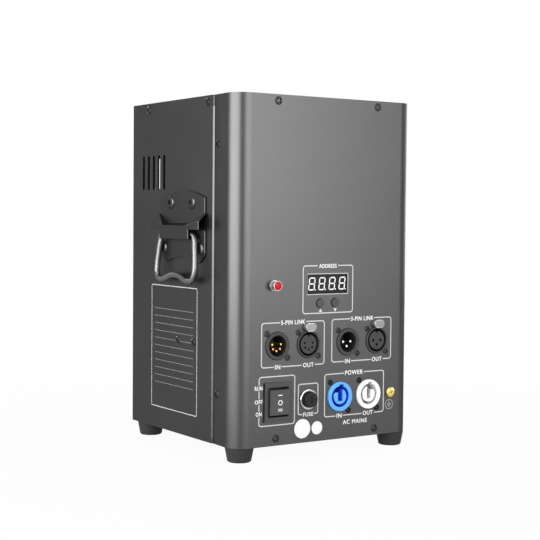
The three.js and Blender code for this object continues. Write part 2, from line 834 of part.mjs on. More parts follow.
function handlePlate() {
  const shoulderDrop = handleSheet + fit;
  const earSlope = (earTopHeight - creaseTopHeight) / (earRootHalfWidth - creaseRootHalfWidth);
  const earLine = (across) => creaseTopHeight + (across - creaseRootHalfWidth) * earSlope - shoulderDrop;
  const corners = [[lowerHalfWidth, lowerTopHeight], [lowerHalfWidth, -lowerSideDrop]];
  const foot = [lowerFootHalfWidth, -lowerFootDrop];
  const mirrored = ([across, up]) => [-across, up];
  const outline = new THREE.Shape();
  outline.moveTo(-upperHalfWidth, shoulderHeight);
  outline.quadraticCurveTo(0, crownHeight * 2 - shoulderHeight, upperHalfWidth, shoulderHeight);
  outline.lineTo(upperHalfWidth, earLine(upperHalfWidth));
  outline.lineTo(neckHalfWidth, earLine(neckHalfWidth));
  outline.lineTo(neckHalfWidth, lowerTopHeight);
  bendTo(outline, corners[0], corners[1]);
  bendTo(outline, corners[1], foot);
  bendTo(outline, foot, [0, archRise - lowerFootDrop]);
  const archEnd = outline.currentPoint.clone();
  outline.quadraticCurveTo(0, archRise * 2 - lowerFootDrop, -archEnd.x, archEnd.y);
  bendTo(outline, mirrored(foot), mirrored(corners[1]));
  bendTo(outline, mirrored(corners[1]), mirrored(corners[0]));
  bendTo(outline, mirrored(corners[0]), [-neckHalfWidth, lowerTopHeight]);
  outline.lineTo(-neckHalfWidth, lowerTopHeight);
  outline.lineTo(-neckHalfWidth, earLine(neckHalfWidth));
  outline.lineTo(-upperHalfWidth, earLine(upperHalfWidth));
  outline.closePath();
  const plate = slab(outline, [fit, plateFace]);

  const folded = (standOff, roots, [frontSunk, rootSunk], beyond) => {
    const low = -channelDrop - beyond;
    const end = earHalfWidth + beyond;
    const top = channelTopHeight - frontSunk;
    const ear = (side) => wasm.Manifold.hull([
      [side * creaseHalfWidth, low, standOff], [side * creaseHalfWidth, top, standOff],
      [side * end, low, standOff], [side * end, earFoldHeight - frontSunk, standOff],
      ...roots.flatMap((root) => [
        [side * creaseHalfWidth, low, root], [side * end, low, root],
        [side * (earRootHalfWidth + beyond), earTopHeight - rootSunk, root],
        [side * creaseRootHalfWidth, creaseTopHeight - rootSunk, root],
      ]),
    ]);
    const middle = wasm.Manifold.hull([1, -1].flatMap((side) => [
      [side * creaseHalfWidth, low, standOff], [side * creaseHalfWidth, top, standOff],
      ...roots.flatMap((root) => [
        [side * creaseRootHalfWidth, low, root],
        [side * creaseRootHalfWidth, creaseTopHeight - rootSunk, root],
      ]),
    ]));
    return middle.add(ear(1)).add(ear(-1));
  };
  const rooted = fit + handleSheet / 2;
  const insideFace = channelStandOff - handleSheet;
  const past = earHalfWidth + overrun;
  const hollow = folded(insideFace, [plateFace, 0], [handleSheet * foldShare, shoulderDrop], overrun)
    .subtract(block([-neckHalfWidth, neckHalfWidth], [-past, past], [-overrun, plateFace]));
  const belowEars = [-channelDrop - overrun, earBottomHeight];
  const outOfPlate = [0, channelStandOff + overrun];
  const channel = folded(channelStandOff, [plateFace, rooted], [0, 0], 0)
    .subtract(hollow)
    .subtract(block([-past, -neckHalfWidth], belowEars, outOfPlate))
    .subtract(block([neckHalfWidth, past], belowEars, outOfPlate))
    .add(block([-lipHalfWidth, lipHalfWidth], [-channelDrop, handleSheet - channelDrop],
      [plateFace + fit, channelStandOff - handleSheet / 2]));
  return plate.add(channel);
}

// The bail's wire, as shares of its half width and its drop, from the split in its top bar
// to the middle of its grip
const bailShares = [
  [0.03, 0], [0.4, 0], [0.74, 0], [0.84, 0.03], [0.89, 0.12], [0.94, 0.34],
  [0.99, 0.6], [1, 0.78], [0.96, 0.91], [0.86, 0.985], [0.68, 1], [0.5, 0.975], [0.28, 0.91], [0, 0.885],
];

function handleBail() {
  const half = bailShares.map(([across, down]) => (
    new THREE.Vector3(across * bailHalfWidth, -down * bailDrop, 0)
  ));
  const mirrored = half.slice(0, -1).reverse().map((point) => new THREE.Vector3(-point.x, point.y, 0));
  const curve = new THREE.CatmullRomCurve3([...half, ...mirrored]);
  return rod(curve, bailRadius, bailSteps, tinySides);
}

function addHandles() {
  const plate = handlePlate();
  const bail = handleBail();
  const sides = [['left', leftWall, handleShift], ['right', rightWall, -handleShift]];
  for (const [side, parent, shift] of sides) {
    const place = [shift, caseBottom + pivotHeight, 0];
    add(`${side}_handle_plate`, plate, handleSteel, parent, place);
    const mesh = add(`${side}_handle_bail`, bail, bailSteel, parent, [place[0], place[1], pivotStandOff]);
    mesh.rotation.x = -bailRestAngle;
  }
}

// Signal sockets
function pinPlaces(count, circle, spread) {
  const angles = row(count, spread, -quarterTurn);
  return angles.map((angle) => [circle * Math.cos(angle), circle * Math.sin(angle)]);
}

const pinSets = {
  five_pin: { places: pinPlaces(5, fivePinCircle, fivePinSpread), radius: fivePinRadius },
  three_pin: { places: pinPlaces(3, threePinCircle, threePinSpread), radius: threePinRadius },
};

function socketFlange([inlet, outlet], [x, y], height, hole) {
  const half = (outlet - inlet - socketFlangeGap) / 2;
  const rise = height / 2;
  const depths = [behindPanel - socketFlangeThickness, behindPanel];
  return block([x - half, x + half], [y - rise, y + rise], depths)
    .subtract(bar(hole, cutThrough.map((depth) => depth + behindPanel), [x, y]));
}

function socketShell(boreRadius, pair, place) {
  const flange = socketFlange(pair, [place, signalRow], socketFlangeHeight, boreRadius);
  return turnedRing([
    [boreRadius, -shellDepth], [shellRadius, -shellDepth], [shellRadius, behindPanel],
    [ringRadius, behindPanel], [ringRadius, ringProud - ringEdge], [ringRadius - ringEdge, ringProud],
    [boreRadius + ringEdge, ringProud], [boreRadius, ringProud - ringEdge],
  ], [place, signalRow]).add(flange);
}

function addInlet(name, pair) {
  const { places, radius } = pinSets[name];
  const [place] = pair;
  const insertFront = insertThickness - shellDepth + fit;
  let insert = bar(inletBoreRadius - fit, [fit - shellDepth, insertFront], [place, signalRow]);
  const pinReach = [insertFront - overrun, insertFront + pinLength];
  for (const [x, y] of places) {
    insert = insert.add(bar(radius, pinReach, [place + x, signalRow + y], tinySides));
  }
  add(`${name}_inlet_shell`, socketShell(inletBoreRadius, pair, place), blackPlastic, frontWall);
  add(`${name}_inlet_pins`, insert, nickel, frontWall);
}

function addOutlet(name, pair) {
  const [, place] = pair;
  const pocketTop = signalRow + latchUp + latchHeight / 2 + latchPocketWall + fit;
  const pocketHalf = latchWidth / 2 + latchPocketWall + fit;
  const pocketBack = behindPanel - latchShank - latchTravel;
  const pocket = block(
    [place - pocketHalf, place + pocketHalf],
    [signalRow + shellRadius - latchPocketWall, pocketTop],
    [pocketBack, behindPanel],
  );
  const shankClear = [behindPanel - latchShank - latchTravel + latchPocketWall, overrun];
  const shell = socketShell(outletBoreRadius, pair, place)
    .add(pocket)
    .subtract(slab(latchOutline(place, fit), shankClear, slotSteps));
  const coreFace = ringProud - outletCoreSet - fit;
  const { places, radius } = pinSets[name];
  let core = turned([
    [0, fit - shellDepth], [outletBoreRadius - fit, fit - shellDepth],
    [outletBoreRadius - fit, insertThickness - shellDepth], [outletCoreRadius, insertThickness - shellDepth],
    [outletCoreRadius, coreFace - ringEdge], [outletCoreRadius - ringEdge, coreFace], [0, coreFace],
  ], [place, signalRow]);
  const holeReach = [coreFace - contactHoleDepth, overrun];
  for (const [x, y] of places) {
    core = core.subtract(bar(radius + contactPlay, holeReach, [place + x, signalRow + y], tinySides));
  }
  core = core.subtract(block(
    [place - keyWidth / 2, place + keyWidth / 2],
    [signalRow + outletCoreRadius - keyDepth, signalRow + outletCoreRadius + overrun],
    holeReach,
  ));
  const latchBack = fit + latchPocketWall - latchShank;
  const latch = slab(latchOutline(place, 0), [latchBack, latchProud - ringEdge], slotSteps)
    .add(slab(roundedRectangle(
      [place - latchWidth / 2 + ringEdge, place + latchWidth / 2 - ringEdge],
      [signalRow + latchUp - latchHeight / 2 + ringEdge, signalRow + latchUp + latchHeight / 2 - ringEdge],
      latchHeight / 2 - ringEdge * 2), [latchBack, latchProud], slotSteps));
  add(`${name}_outlet_shell`, shell, blackPlastic, frontWall);
  add(`${name}_outlet_core`, core, blackPlastic, frontWall);
  add(`${name}_outlet_latch`, latch, nickel, frontWall);
}

function addSignalSockets() {
  for (const [name, pair] of Object.entries(signalPairs)) {
    addInlet(name, pair);
    addOutlet(name, pair);
  }
}

// Power sockets: a bayonet ring round an island, which a slot opens at the top into two arms.
// One arm is short, on the other side in the outlet than in the inlet, so that a plug fits only its own.
function addPowerSockets() {
  const kinds = [['power_inlet', blueSocket, -1], ['power_outlet', whiteSocket, 1]];
  kinds.forEach(([name, finish, shortSide], i) => {
    const place = powerPair[i];
    const flange = socketFlange(powerPair, [place, powerRow], powerFlangeHeight, powerBodyRadius - ringEdge);
    const slotHalf = powerSlotWidth / 2;
    const slot = block(
      [place - slotHalf, place + slotHalf],
      [powerRow - powerSlotDrop, powerRow + powerIslandRadius + fit],
      [overrun - powerBoreDepth, powerIslandProud + overrun],
    );
    const armEnds = [place, place + shortSide * (powerIslandRadius + fit)];
    const shortened = block(
      [Math.min(...armEnds), Math.max(...armEnds)],
      [powerRow + shortArmRise, powerRow + powerIslandRadius + fit],
      [-shortArmDepth, powerIslandProud + overrun],
    ).intersect(bar(powerIslandRadius + fit, [-powerBoreDepth, powerBoreDepth], [place, powerRow]));
    const notchMiddle = place + notchShift;
    const notch = block(
      [notchMiddle - notchWidth / 2, notchMiddle + notchWidth / 2],
      [powerRow + powerBoreRadius - overrun / 2, powerRow + powerBoreRadius + notchReach],
      [-notchDepth, powerRingProud + overrun],
    );
    const socket = turned([
      [0, -powerDepth], [powerBodyRadius, -powerDepth], [powerBodyRadius, behindPanel],
      [powerRingRadius, behindPanel], [powerRingRadius, powerRingProud - ringEdge],
      [powerRingRadius - ringEdge, powerRingProud], [powerBoreRadius + ringEdge, powerRingProud],
      [powerBoreRadius, powerRingProud - ringEdge], [powerBoreRadius, -powerBoreDepth],
      [powerIslandRadius, -powerBoreDepth], [powerIslandRadius, powerIslandProud - ringEdge],
      [powerIslandRadius - ringEdge, powerIslandProud], [0, powerIslandProud],
    ], [place, powerRow])
      .add(flange)
      .subtract(slot)
      .subtract(shortened)
      .subtract(notch);
    add(name, socket, finish, frontWall);
  });
}

// Switch: a three-place rocker in a snap-in housing
function addSwitch() {
  const pocketHalf = rockerWidth / 2 + rockerSideGap;
  const pocketRise = rockerHeight / 2 + rockerEndGap;
  const [x, y] = switchPlace;
  const bezel = block(
    [x - bezelWidth / 2, x + bezelWidth / 2],
    [y - bezelHeight / 2, y + bezelHeight / 2],
    [fit, bezelThickness],
  );
  const body = block(
    [x - switchBodyWidth / 2, x + switchBodyWidth / 2],
    [y - switchBodyHeight / 2, y + switchBodyHeight / 2],
    [-switchDepth, bezelThickness / 2],
  );
  const pocket = block(
    [x - pocketHalf, x + pocketHalf],
    [y - pocketRise, y + pocketRise],
    [-rockerFloorSet, bezelThickness + overrun],
  );
  const axlePlace = [y, -rockerPivotSet];
  const seatReach = [x - pocketHalf - axleBite, x + pocketHalf + axleBite];
  const axleReach = [seatReach[0] + fit, seatReach[1] - fit];
  let housing = bezel.add(body).subtract(pocket).subtract(crossBar(axleRadius + fit, seatReach, axlePlace));
  for (const up of row(3, terminalPitch, y)) {
    housing = housing.add(block(
      [x - terminalWidth / 2, x + terminalWidth / 2],
      [up - terminalThickness / 2, up + terminalThickness / 2],
      [-switchDepth - terminalLength, -switchDepth + overrun],
    ));
  }
  const rise = rockerHeight / 2;
  const faceRise = rockerFaceHeight / 2;
  const heel = rise * rockerHeelShare;
  const rockerBack = rockerProud - rockerThickness;
  const rocker = drawnAcross([
    [rockerProud, y - faceRise + fit], [rockerProud, y + faceRise - fit], [rockerProud - fit, y + faceRise],
    [rockerPivotSet, y + rise], [rockerBack, y + heel], [rockerBack, y - heel],
    [rockerPivotSet, y - rise], [rockerProud - fit, y - faceRise],
  ], [x - rockerWidth / 2, x + rockerWidth / 2])
    .add(crossBar(axleRadius, axleReach, axlePlace));
  add('switch_housing', housing, blackPlastic, frontWall);
  add('switch_rocker', rocker, blackPlastic, frontWall);
}

// Fuse holder with its screw cap, which carries the glass fuse
function addFuse() {
  const place = fusePlace;
  const ringFace = fit + fuseRingThickness;
  const holder = turned([
    [0, -fuseDepth], [fuseBodyRadius, -fuseDepth], [fuseBodyRadius, fit], [fuseRingRadius, fit],
    [fuseRingRadius, ringFace - fuseCapEdge], [fuseRingRadius - fuseCapEdge, ringFace],
    [fuseBoreRadius, ringFace], [fuseBoreRadius, fuseWall - fuseDepth], [0, fuseWall - fuseDepth],
  ], place);
  const capBack = ringFace + fit;
  const clipFloor = -overrun / 2;
  const [x, y] = place;
  const slotDepths = [fuseCapProud - crossDepth, fuseCapProud + overrun];
  const slot = (wide, tall) => block([x - wide / 2, x + wide / 2], [y - tall / 2, y + tall / 2], slotDepths);
  const cap = turned([
    [0, clipFloor], [fuseClipRadius, clipFloor], [fuseClipRadius, -fuseShankLength],
    [fuseBoreRadius - fit, -fuseShankLength], [fuseBoreRadius - fit, capBack], [fuseCapRadius, capBack],
    [fuseCapFaceRadius, fuseCapProud - fuseCapEdge], [fuseCapFaceRadius - fuseCapEdge, fuseCapProud],
    [0, fuseCapProud],
  ], place)
    .subtract(slot(crossLength, crossWidth))
    .subtract(slot(crossWidth, crossLength));
  const glassFront = clipFloor - fit;
  const fuse = bar(fuseGlassRadius, [glassFront - fuseGlassLength, glassFront], place, smallSides);
  add('fuse_holder', holder, blackPlastic, frontWall);
  add('fuse_cap', cap, blackPlastic, frontWall);
  add('glass_fuse', fuse, glass, frontWall);
}

// Indicator lamp: a flanged barrel with a wider head, and a lens that fills the head
function addLamp() {
  const headBack = lampProud - lampHeadLength;
  const flangeFace = fit + lampFlangeThickness;
  const rimRadius = lampHeadRadius - lampRimWall;
  const lensSeat = headBack + lampRimWall;
  const bezel = turnedRing([
    [lampBoreRadius, -lampDepth], [lampShankRadius, -lampDepth], [lampShankRadius, fit],
    [lampFlangeRadius, fit], [lampFlangeRadius, flangeFace], [lampShankRadius, flangeFace],
    [lampShankRadius, headBack], [lampHeadRadius, headBack], [lampHeadRadius, lampProud - lampEdge],
    [lampHeadRadius - lampEdge, lampProud], [rimRadius, lampProud], [rimRadius, lensSeat],
    [lampBoreRadius, lensSeat],
  ], lampPlace);
  const lensRadius = rimRadius - fit;
  const stemRadius = lampBoreRadius - fit;
  const lens = turned([
    [0, lampRimWall - lampDepth], [stemRadius, lampRimWall - lampDepth], [stemRadius, lensSeat + fit],
    [lensRadius, lensSeat + fit], [lensRadius, lampProud],
    [lensRadius * lensCrownShare, lampLensProud - lampEdge], [0, lampLensProud],
  ], lampPlace);
  add('indicator_bezel', bezel, nickel, frontWall);
  add('indicator_lens', lens, redLens, frontWall);
}

// Display, its board and the two buttons
function addDisplay() {
  const half = displayWidth / 2;
  const rise = displayTall / 2;
  const displayBack = boardFront + fit;
  const displayHeights = [displayPlace - rise, displayPlace + rise];
  const display = block([-half, half], displayHeights, [displayBack, -displaySet]);
  const buttonBack = behindPanel - buttonCollarThickness;
  const tactFront = buttonBack - buttonTravel - fit;
  const boardBack = boardFront - boardThickness;
  let circuit = block(
    [-boardWidth / 2, boardWidth / 2],
    [boardPlace - boardTall / 2, boardPlace + boardTall / 2],
    [boardBack, boardFront],
  ).add(block(
    [-chipWidth / 2, chipWidth / 2], [boardPlace, boardPlace + chipTall], [boardBack - chipDeep, boardFront],
  ));
  for (const place of row(2, buttonPitch)) {
    circuit = circuit.add(block(
      [place - tactWidth / 2, place + tactWidth / 2],
      [buttonPlace - tactWidth / 2, buttonPlace + tactWidth / 2],
      [boardBack, tactFront],
    ));
  }
  add('display_module', display, blackPlastic, frontWall);
  add('control_board', circuit, board, frontWall);
  const [left, right] = row(2, buttonPitch);
  for (const [name, place] of Object.entries({ up_button: left, down_button: right })) {
    const collarFront = behindPanel - fit / 2;
    const button = turned([
      [0, buttonBack], [buttonRadius + buttonCollar, buttonBack], [buttonRadius + buttonCollar, collarFront],
      [buttonRadius, collarFront], [buttonRadius, buttonProud - buttonEdge],
      [buttonRadius - buttonEdge, buttonProud], [0, buttonProud],
    ], [place, buttonPlace], smallSides);
    add(name, button, blackPlastic, frontWall);
  }
}

// Earth screw
function addEarthScrew() {
  const place = earthPlace;
  const headFace = fit + earthHeadProud;
  const nutFront = behindPanel;
  const screw = turned([
    [0, -earthShankLength], [earthShankRadius, -earthShankLength],
    [earthShankRadius, nutFront - earthNutThickness], [earthNutRadius, nutFront - earthNutThickness],
    [earthNutRadius, nutFront], [earthShankRadius, nutFront],
    [earthShankRadius, fit], [earthHeadRadius, fit], [earthHeadRadius, headFace - earthHeadProud / 2],
    [earthHeadRadius * 2 / 3, headFace], [0, headFace],
  ], place, smallSides);
  add('earth_screw', screw, brass, frontWall);
}

// Flame bowl, nozzle and the block that feeds it
const rimBottom = caseTop + fit;
const bowlFloor = caseTop - bowlDepth;
const bowlInside = bowlFloor + bowlSheet;
const nozzleSeat = bowlInside + fit;
const deckBottom = caseTop - deckDown - sheet;
const deckTop = deckBottom + sheet;
const blockTop = deckBottom - fit;
const blockBottom = blockTop - blockHeight;

function addBowl() {
  let bowl = turnedRing([
    [nozzleHoleRadius, bowlFloor], [bowlFloorRadius, bowlFloor], [bowlMouthRadius, coverUnderside],
    [bowlMouthRadius, rimBottom], [bowlRimRadius, rimBottom], [bowlRimRadius, rimBottom + bowlSheet],
    [bowlMouthRadius - bowlSheet, rimBottom + bowlSheet], [bowlMouthRadius - bowlSheet, coverUnderside],
    [bowlFloorRadius - bowlSheet / 2, bowlInside], [nozzleHoleRadius, bowlInside],
  ], [0, 0], wideSides);
  for (const x of row(2, electrodeOffset * 2)) {
    const through = [bowlFloor - overrun, bowlInside + overrun];
    bowl = bowl.subtract(bar(ceramicRadius + fit, through, [x, 0], smallSides));
  }
  add('flame_bowl', bowl, stainless);
}

function addNozzle() {
  const stemBottom = blockTop - blockSocket + fit;
  const nutTop = nozzleSeat + nozzleNutHeight;
  const nozzle = turnedRing([
    [nozzleBoreRadius, stemBottom], [nozzleStemRadius, stemBottom], [nozzleStemRadius, nozzleSeat],
    [nozzleNutRadius, nozzleSeat], [nozzleNutRadius, nutTop], [nozzleStemRadius, nutTop],
    [nozzleTipRadius, nutTop + nozzleTipHeight], [nozzleBoreRadius, nutTop + nozzleTipHeight],
  ], [0, 0], smallSides);
  const feed = turnedRing([
    [blockSeatRadius, blockBottom], [blockRadius, blockBottom], [blockRadius, blockTop],
    [nozzleStemRadius + fit, blockTop], [nozzleStemRadius + fit, blockTop - blockSocket],
    [blockSeatRadius, blockTop - blockSocket],
  ]);
  add('flame_nozzle', nozzle, brass);
  add('nozzle_block', feed, brass);
}

// Deck: a bridge between the side panels that carries the nozzle block
function addDeck() {
  const [front, back] = row(2, deckDepth, deckShift);
  let deck = block([-panHalfWidth, panHalfWidth], [front, back], [deckBottom, deckTop])
    .add(block([-panHalfWidth, sheet - panHalfWidth], [front, back], [deckTop - deckFlange, deckTop]))
    .add(block([panHalfWidth - sheet, panHalfWidth], [front, back], [deckTop - deckFlange, deckTop]))
    .subtract(bar(nozzleStemRadius + fit, [deckBottom - overrun, deckTop + overrun], [0, 0], smallSides));
  for (const hole of leadHoles) {
    deck = deck.subtract(bar(leadHoleRadius, [deckBottom - overrun, deckTop + overrun], hole, smallSides));
  }
  add('burner_deck', deck, zinc);
}

// Electrodes: a ceramic that stands in the bowl's floor, with a wire bent in over the nozzle
const wireBottom = bowlFloor - ceramicBelow - wireTail;

function addElectrodes() {
  for (const [side, outward] of [['left', -1], ['right', 1]]) {
    const at = [outward * electrodeOffset, 0];
    const ceramicTop = bowlInside + ceramicAbove;
    const insulator = turned([
      [0, bowlFloor - ceramicBelow], [ceramicRadius, bowlFloor - ceramicBelow], [ceramicRadius, nozzleSeat],
      [ceramicFlangeRadius, nozzleSeat], [ceramicFlangeRadius, nozzleSeat + ceramicFlangeHeight],
      [ceramicRadius, nozzleSeat + ceramicFlangeHeight], [ceramicRadius, ceramicTop - wireRadius],
      [ceramicRadius - wireRadius, ceramicTop], [0, ceramicTop],
    ], at, smallSides);
    const bendHeight = ceramicTop + wireRise / 2;
    const wire = new THREE.CatmullRomCurve3([
      new THREE.Vector3(at[0], 0, ceramicTop - wireRise),
      new THREE.Vector3(at[0], 0, ceramicTop),
      new THREE.Vector3(at[0], 0, bendHeight),
      new THREE.Vector3(at[0] - outward * wireRise / 2, 0, ceramicTop + wireRise),
      new THREE.Vector3(outward * sparkHalfGap, 0, ceramicTop + wireRise),
    ]);
    const electrode = insulator
      .add(rod(wire, wireRadius, wireSteps, wireSides))
      .add(bar(wireRadius, [wireBottom, bowlFloor], at, tinySides));
    add(`${side}_electrode`, electrode, ceramic);
  }
}

// Fuel can, the cup that lifts it, and the solenoid under the cup
const solenoidBottom = baseFloor + fit;
const solenoidTop = solenoidBottom + solenoidHeight;
const cupBottom = solenoidTop + liftTravel + overrun;
const canBottom = cupBottom + cupFloor + fit;
const stemTop = blockBottom - liftTravel + stemBite;
const pedestalTop = stemTop - canStemHeight;
const canTop = pedestalTop - canPedestalHeight;
const rimHeight = canTop - canRimHeight;
const canShoulder = rimHeight - canDome;

function addFuelCan() {
  const inner = canRadius - canWall;
  const can = turnedRing([
    [canVentRadius, canBottom], [canRadius, canBottom], [canRadius, canShoulder], [canRimRadius, rimHeight],
    [canRimRadius, canTop], [canPedestalRadius, canTop], [canPedestalRadius, pedestalTop],
    [canStemRadius, pedestalTop], [canStemRadius, stemTop],
    [nozzleBoreRadius, stemTop], [nozzleBoreRadius, canTop - canWall * 2],
    [canRimRadius - canWall * 2, rimHeight - canWall * 2], [inner, canShoulder - canWall],
    [inner, canBottom + canWall], [canVentRadius, canBottom + canWall],
  ]);
  const cupRadius = canRadius + runningFit + cupWall;
  const cup = turned([
    [0, cupBottom], [cupRadius, cupBottom], [cupRadius, cupBottom + cupHeight],
    [cupRadius - cupWall, cupBottom + cupHeight], [cupRadius - cupWall, cupBottom + cupFloor],
    [0, cupBottom + cupFloor],
  ]);
  add('fuel_can', can, canPaint);
  add('can_cup', cup, zinc);
}

function addSolenoid() {
  const halfWide = solenoidWidth / 2;
  const halfDeep = solenoidDepth / 2;
  const passage = plungerRadius + runningFit;
  const windowHeights = [solenoidBottom + solenoidIron, solenoidTop - solenoidIron];
  const yoke = block([-halfWide, halfWide], [-halfDeep, halfDeep], [solenoidBottom, solenoidTop])
    .subtract(block(
      [solenoidIron - halfWide, halfWide - solenoidIron],
      [-halfDeep - overrun, halfDeep + overrun],
      windowHeights,
    ))
    .subtract(bar(passage, [windowHeights[1] - overrun, solenoidTop + overrun], [0, 0], smallSides));
  const coil = turnedRing([
    [coilBoreRadius, windowHeights[0] + fit], [coilRadius, windowHeights[0] + fit],
    [coilRadius, windowHeights[1] - fit], [coilBoreRadius, windowHeights[1] - fit],
  ]);
  const coreBottom = windowHeights[0] + overrun;
  const coreTop = solenoidTop;
  const plunger = turned([
    [0, coreBottom], [plungerRadius, coreBottom], [plungerRadius, coreTop], [plungerRodRadius, coreTop],
    [plungerRodRadius, cupBottom - fit], [0, cupBottom - fit],
  ], [0, 0], smallSides);
  add('solenoid_yoke', yoke, zinc);
  add('solenoid_coil', coil, copperCoil);
  add('solenoid_plunger', plunger, nickel);
}

// Return spring: it stands on the can's shoulder, under the deck, and pushes the can back down
class SpringLine extends THREE.Curve {
  constructor(radius, [low, high], turns) {
    super();
    Object.assign(this, { radius, low, high, turns });
  }

  getPoint(share, target = new THREE.Vector3()) {
    const angle = fullTurn * this.turns * share;
    const height = this.low + (this.high - this.low) * share;
    return target.set(this.radius * Math.cos(angle), this.radius * Math.sin(angle), height);
  }
}

function addReturnSpring() {
  const insideRadius = springRadius * Math.cos(halfTurn / springStepsPerTurn) - springWireRadius;
  const domeShare = (canRadius - insideRadius) / (canRadius - canRimRadius);
  const low = canShoulder + canDome * domeShare + springWireRadius + fit;
  const high = deckBottom - fit - springWireRadius;
  const line = new SpringLine(springRadius, [low, high], springTurns);
  const turnGap = (high - low) / springTurns - springWireRadius * 2;
  console.log(`Least gap between the turns of the return spring: ${turnGap.toFixed(2)} mm`);
  add('return_spring', rod(line, springWireRadius, springTurns * springStepsPerTurn, springSides), zinc);
}

// Ignition module on the left wall, and the power supply on the right
const moduleBottom = caseBottom + moduleLow;
const moduleTop = moduleBottom + moduleTall;
const moduleMiddle = moduleThick / 2 - panHalfWidth;
const postPlaces = row(2, postSpread, moduleShift).map((y) => [moduleMiddle, y]);

function addIgnitionModule() {
  const [front, back] = row(2, moduleDepth, moduleShift);
  let body = block([-panHalfWidth, moduleThick - panHalfWidth], [front, back], [moduleBottom, moduleTop]);
  for (const place of postPlaces) {
    body = body.add(bar(postRadius, [moduleTop - postHeight, moduleTop + postHeight], place, smallSides));
  }
  add('ignition_module', body, moduleResin);
}

function addPowerSupply() {
  const low = caseBottom + supplyLow;
  const [front, back] = row(2, supplyDepth);
  const inner = panHalfWidth - supplyThick;
  const body = block([inner, panHalfWidth], [front, back], [low, low + supplyTall])
    .add(block([inner, inner + stripThick], [front + stripTall, back - stripTall],
      [low + supplyTall - overrun, low + supplyTall + stripTall]));
  add('power_supply', body, zinc);
}

// Ignition leads, from the module's posts up through the deck and across to the electrodes
function addIgnitionLeads() {
  const start = moduleTop + postHeight + fit;
  const end = wireBottom - fit;
  const across = deckTop + leadRadius * 2;
  const ends = { left: [-electrodeOffset, -leadTurn], right: [electrodeOffset, leadTurn] };
  Object.entries(ends).forEach(([side, [x, y]], i) => {
    const [postX, postY] = postPlaces[i];
    const [holeX, holeY] = leadHoles[i];
    const route = [
      [postX, postY, start], [postX, postY, start + leadTurn],
      [(postX + holeX) / 2 - leadTurn, (postY + holeY) / 2, (start + deckBottom) / 2],
      [holeX, holeY, deckBottom - leadTurn], [holeX, holeY, deckTop - leadRadius],
      [holeX + leadTurn, holeY, across], [x - leadTurn * 3 / 2, (y + holeY) / 2, across],
      [x - leadTurn / 2, y / 4, across + leadRadius / 2], [x, 0, end - leadRadius * 2], [x, 0, end],
    ];
    const curve = new THREE.CatmullRomCurve3(route.map((point) => new THREE.Vector3(...point)));
    add(`${side}_ignition_lead`, rod(curve, leadRadius, leadSteps, tinySides), leadSilicone);
  });
}

addBasePan();
addTopCover();
addSidePanel('left_side_panel', leftWall, 1);
addSidePanel('right_side_panel', rightWall, -1);
addFrontCover();
addRearFrame();
addRearDoor();
addHinge();
addDoorLatch();
addFeet();
addHandles();
addSignalSockets();
addPowerSockets();
addSwitch();
addFuse();
addLamp();
addDisplay();
addEarthScrew();
addBowl();
addNozzle();
addDeck();
addElectrodes();
addFuelCan();
addSolenoid();
addReturnSpring();
addIgnitionModule();
addPowerSupply();
addIgnitionLeads();

export default machine;
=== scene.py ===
from math import cos, hypot, pi, radians, sin, tau

import bmesh
import bpy
from mathutils import Matrix, Vector


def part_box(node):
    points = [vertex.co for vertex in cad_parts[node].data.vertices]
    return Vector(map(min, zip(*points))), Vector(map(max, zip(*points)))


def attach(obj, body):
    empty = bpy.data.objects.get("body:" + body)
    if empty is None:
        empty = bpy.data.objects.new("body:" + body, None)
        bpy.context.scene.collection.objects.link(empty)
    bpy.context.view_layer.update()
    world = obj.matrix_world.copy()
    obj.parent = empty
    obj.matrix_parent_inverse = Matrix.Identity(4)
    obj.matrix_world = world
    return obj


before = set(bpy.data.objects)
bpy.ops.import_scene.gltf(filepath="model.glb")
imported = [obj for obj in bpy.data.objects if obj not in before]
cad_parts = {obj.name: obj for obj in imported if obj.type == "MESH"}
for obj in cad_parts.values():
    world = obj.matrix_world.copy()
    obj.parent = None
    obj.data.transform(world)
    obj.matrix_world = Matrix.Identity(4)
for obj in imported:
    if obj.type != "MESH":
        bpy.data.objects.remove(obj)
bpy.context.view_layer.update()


# The room: a pale floor that fades into a white backdrop, six soft lamps and the camera.
# The camera stands in front, to the left of the machine, and looks a little down.
# Lengths in this section are in metres.
camera_turn = radians(33.4064)
camera_aim = radians(0.0250)
camera_dip = radians(2.5210)
camera_roll = radians(0.49018)
camera_distance = 1.104870
camera_height = 0.197505
camera_lens = 84.020
film_width = 36
nearest_seen = 0.05

heading = camera_turn + camera_aim
forward = Vector((
    sin(heading) * cos(camera_dip),
    cos(heading) * cos(camera_dip),
    -sin(camera_dip),
))
level = Vector((cos(heading), -sin(heading), 0))
upright = level.cross(forward)
picture_right = cos(camera_roll) * level + sin(camera_roll) * upright
picture_up = cos(camera_roll) * upright - sin(camera_roll) * level

camera = bpy.data.objects.new("camera", bpy.data.cameras.new("camera"))
camera.data.lens = camera_lens
camera.data.sensor_width = film_width
camera.data.clip_start = nearest_seen
tripod = Matrix.Translation((
    -sin(camera_turn) * camera_distance,
    -cos(camera_turn) * camera_distance,
    camera_height,
))
camera.matrix_world = tripod @ Matrix((picture_right, picture_up, -forward)).transposed().to_4x4()
bpy.context.scene.collection.objects.link(camera)
bpy.context.scene.camera = camera
bpy.context.scene.view_settings.view_transform = "Standard"

room_light = 0.15
backdrop_in_reflections = 0.7
white = (1, 1, 1, 1)
floor_grey = (0.5, 0.5, 0.5, 1)
floor_size = 12
fade_from, fade_to = 0.1, 0.9
whiteness_near, whiteness_far = 0.95, 1
machine_middle = Vector((0, 0, 0.15))


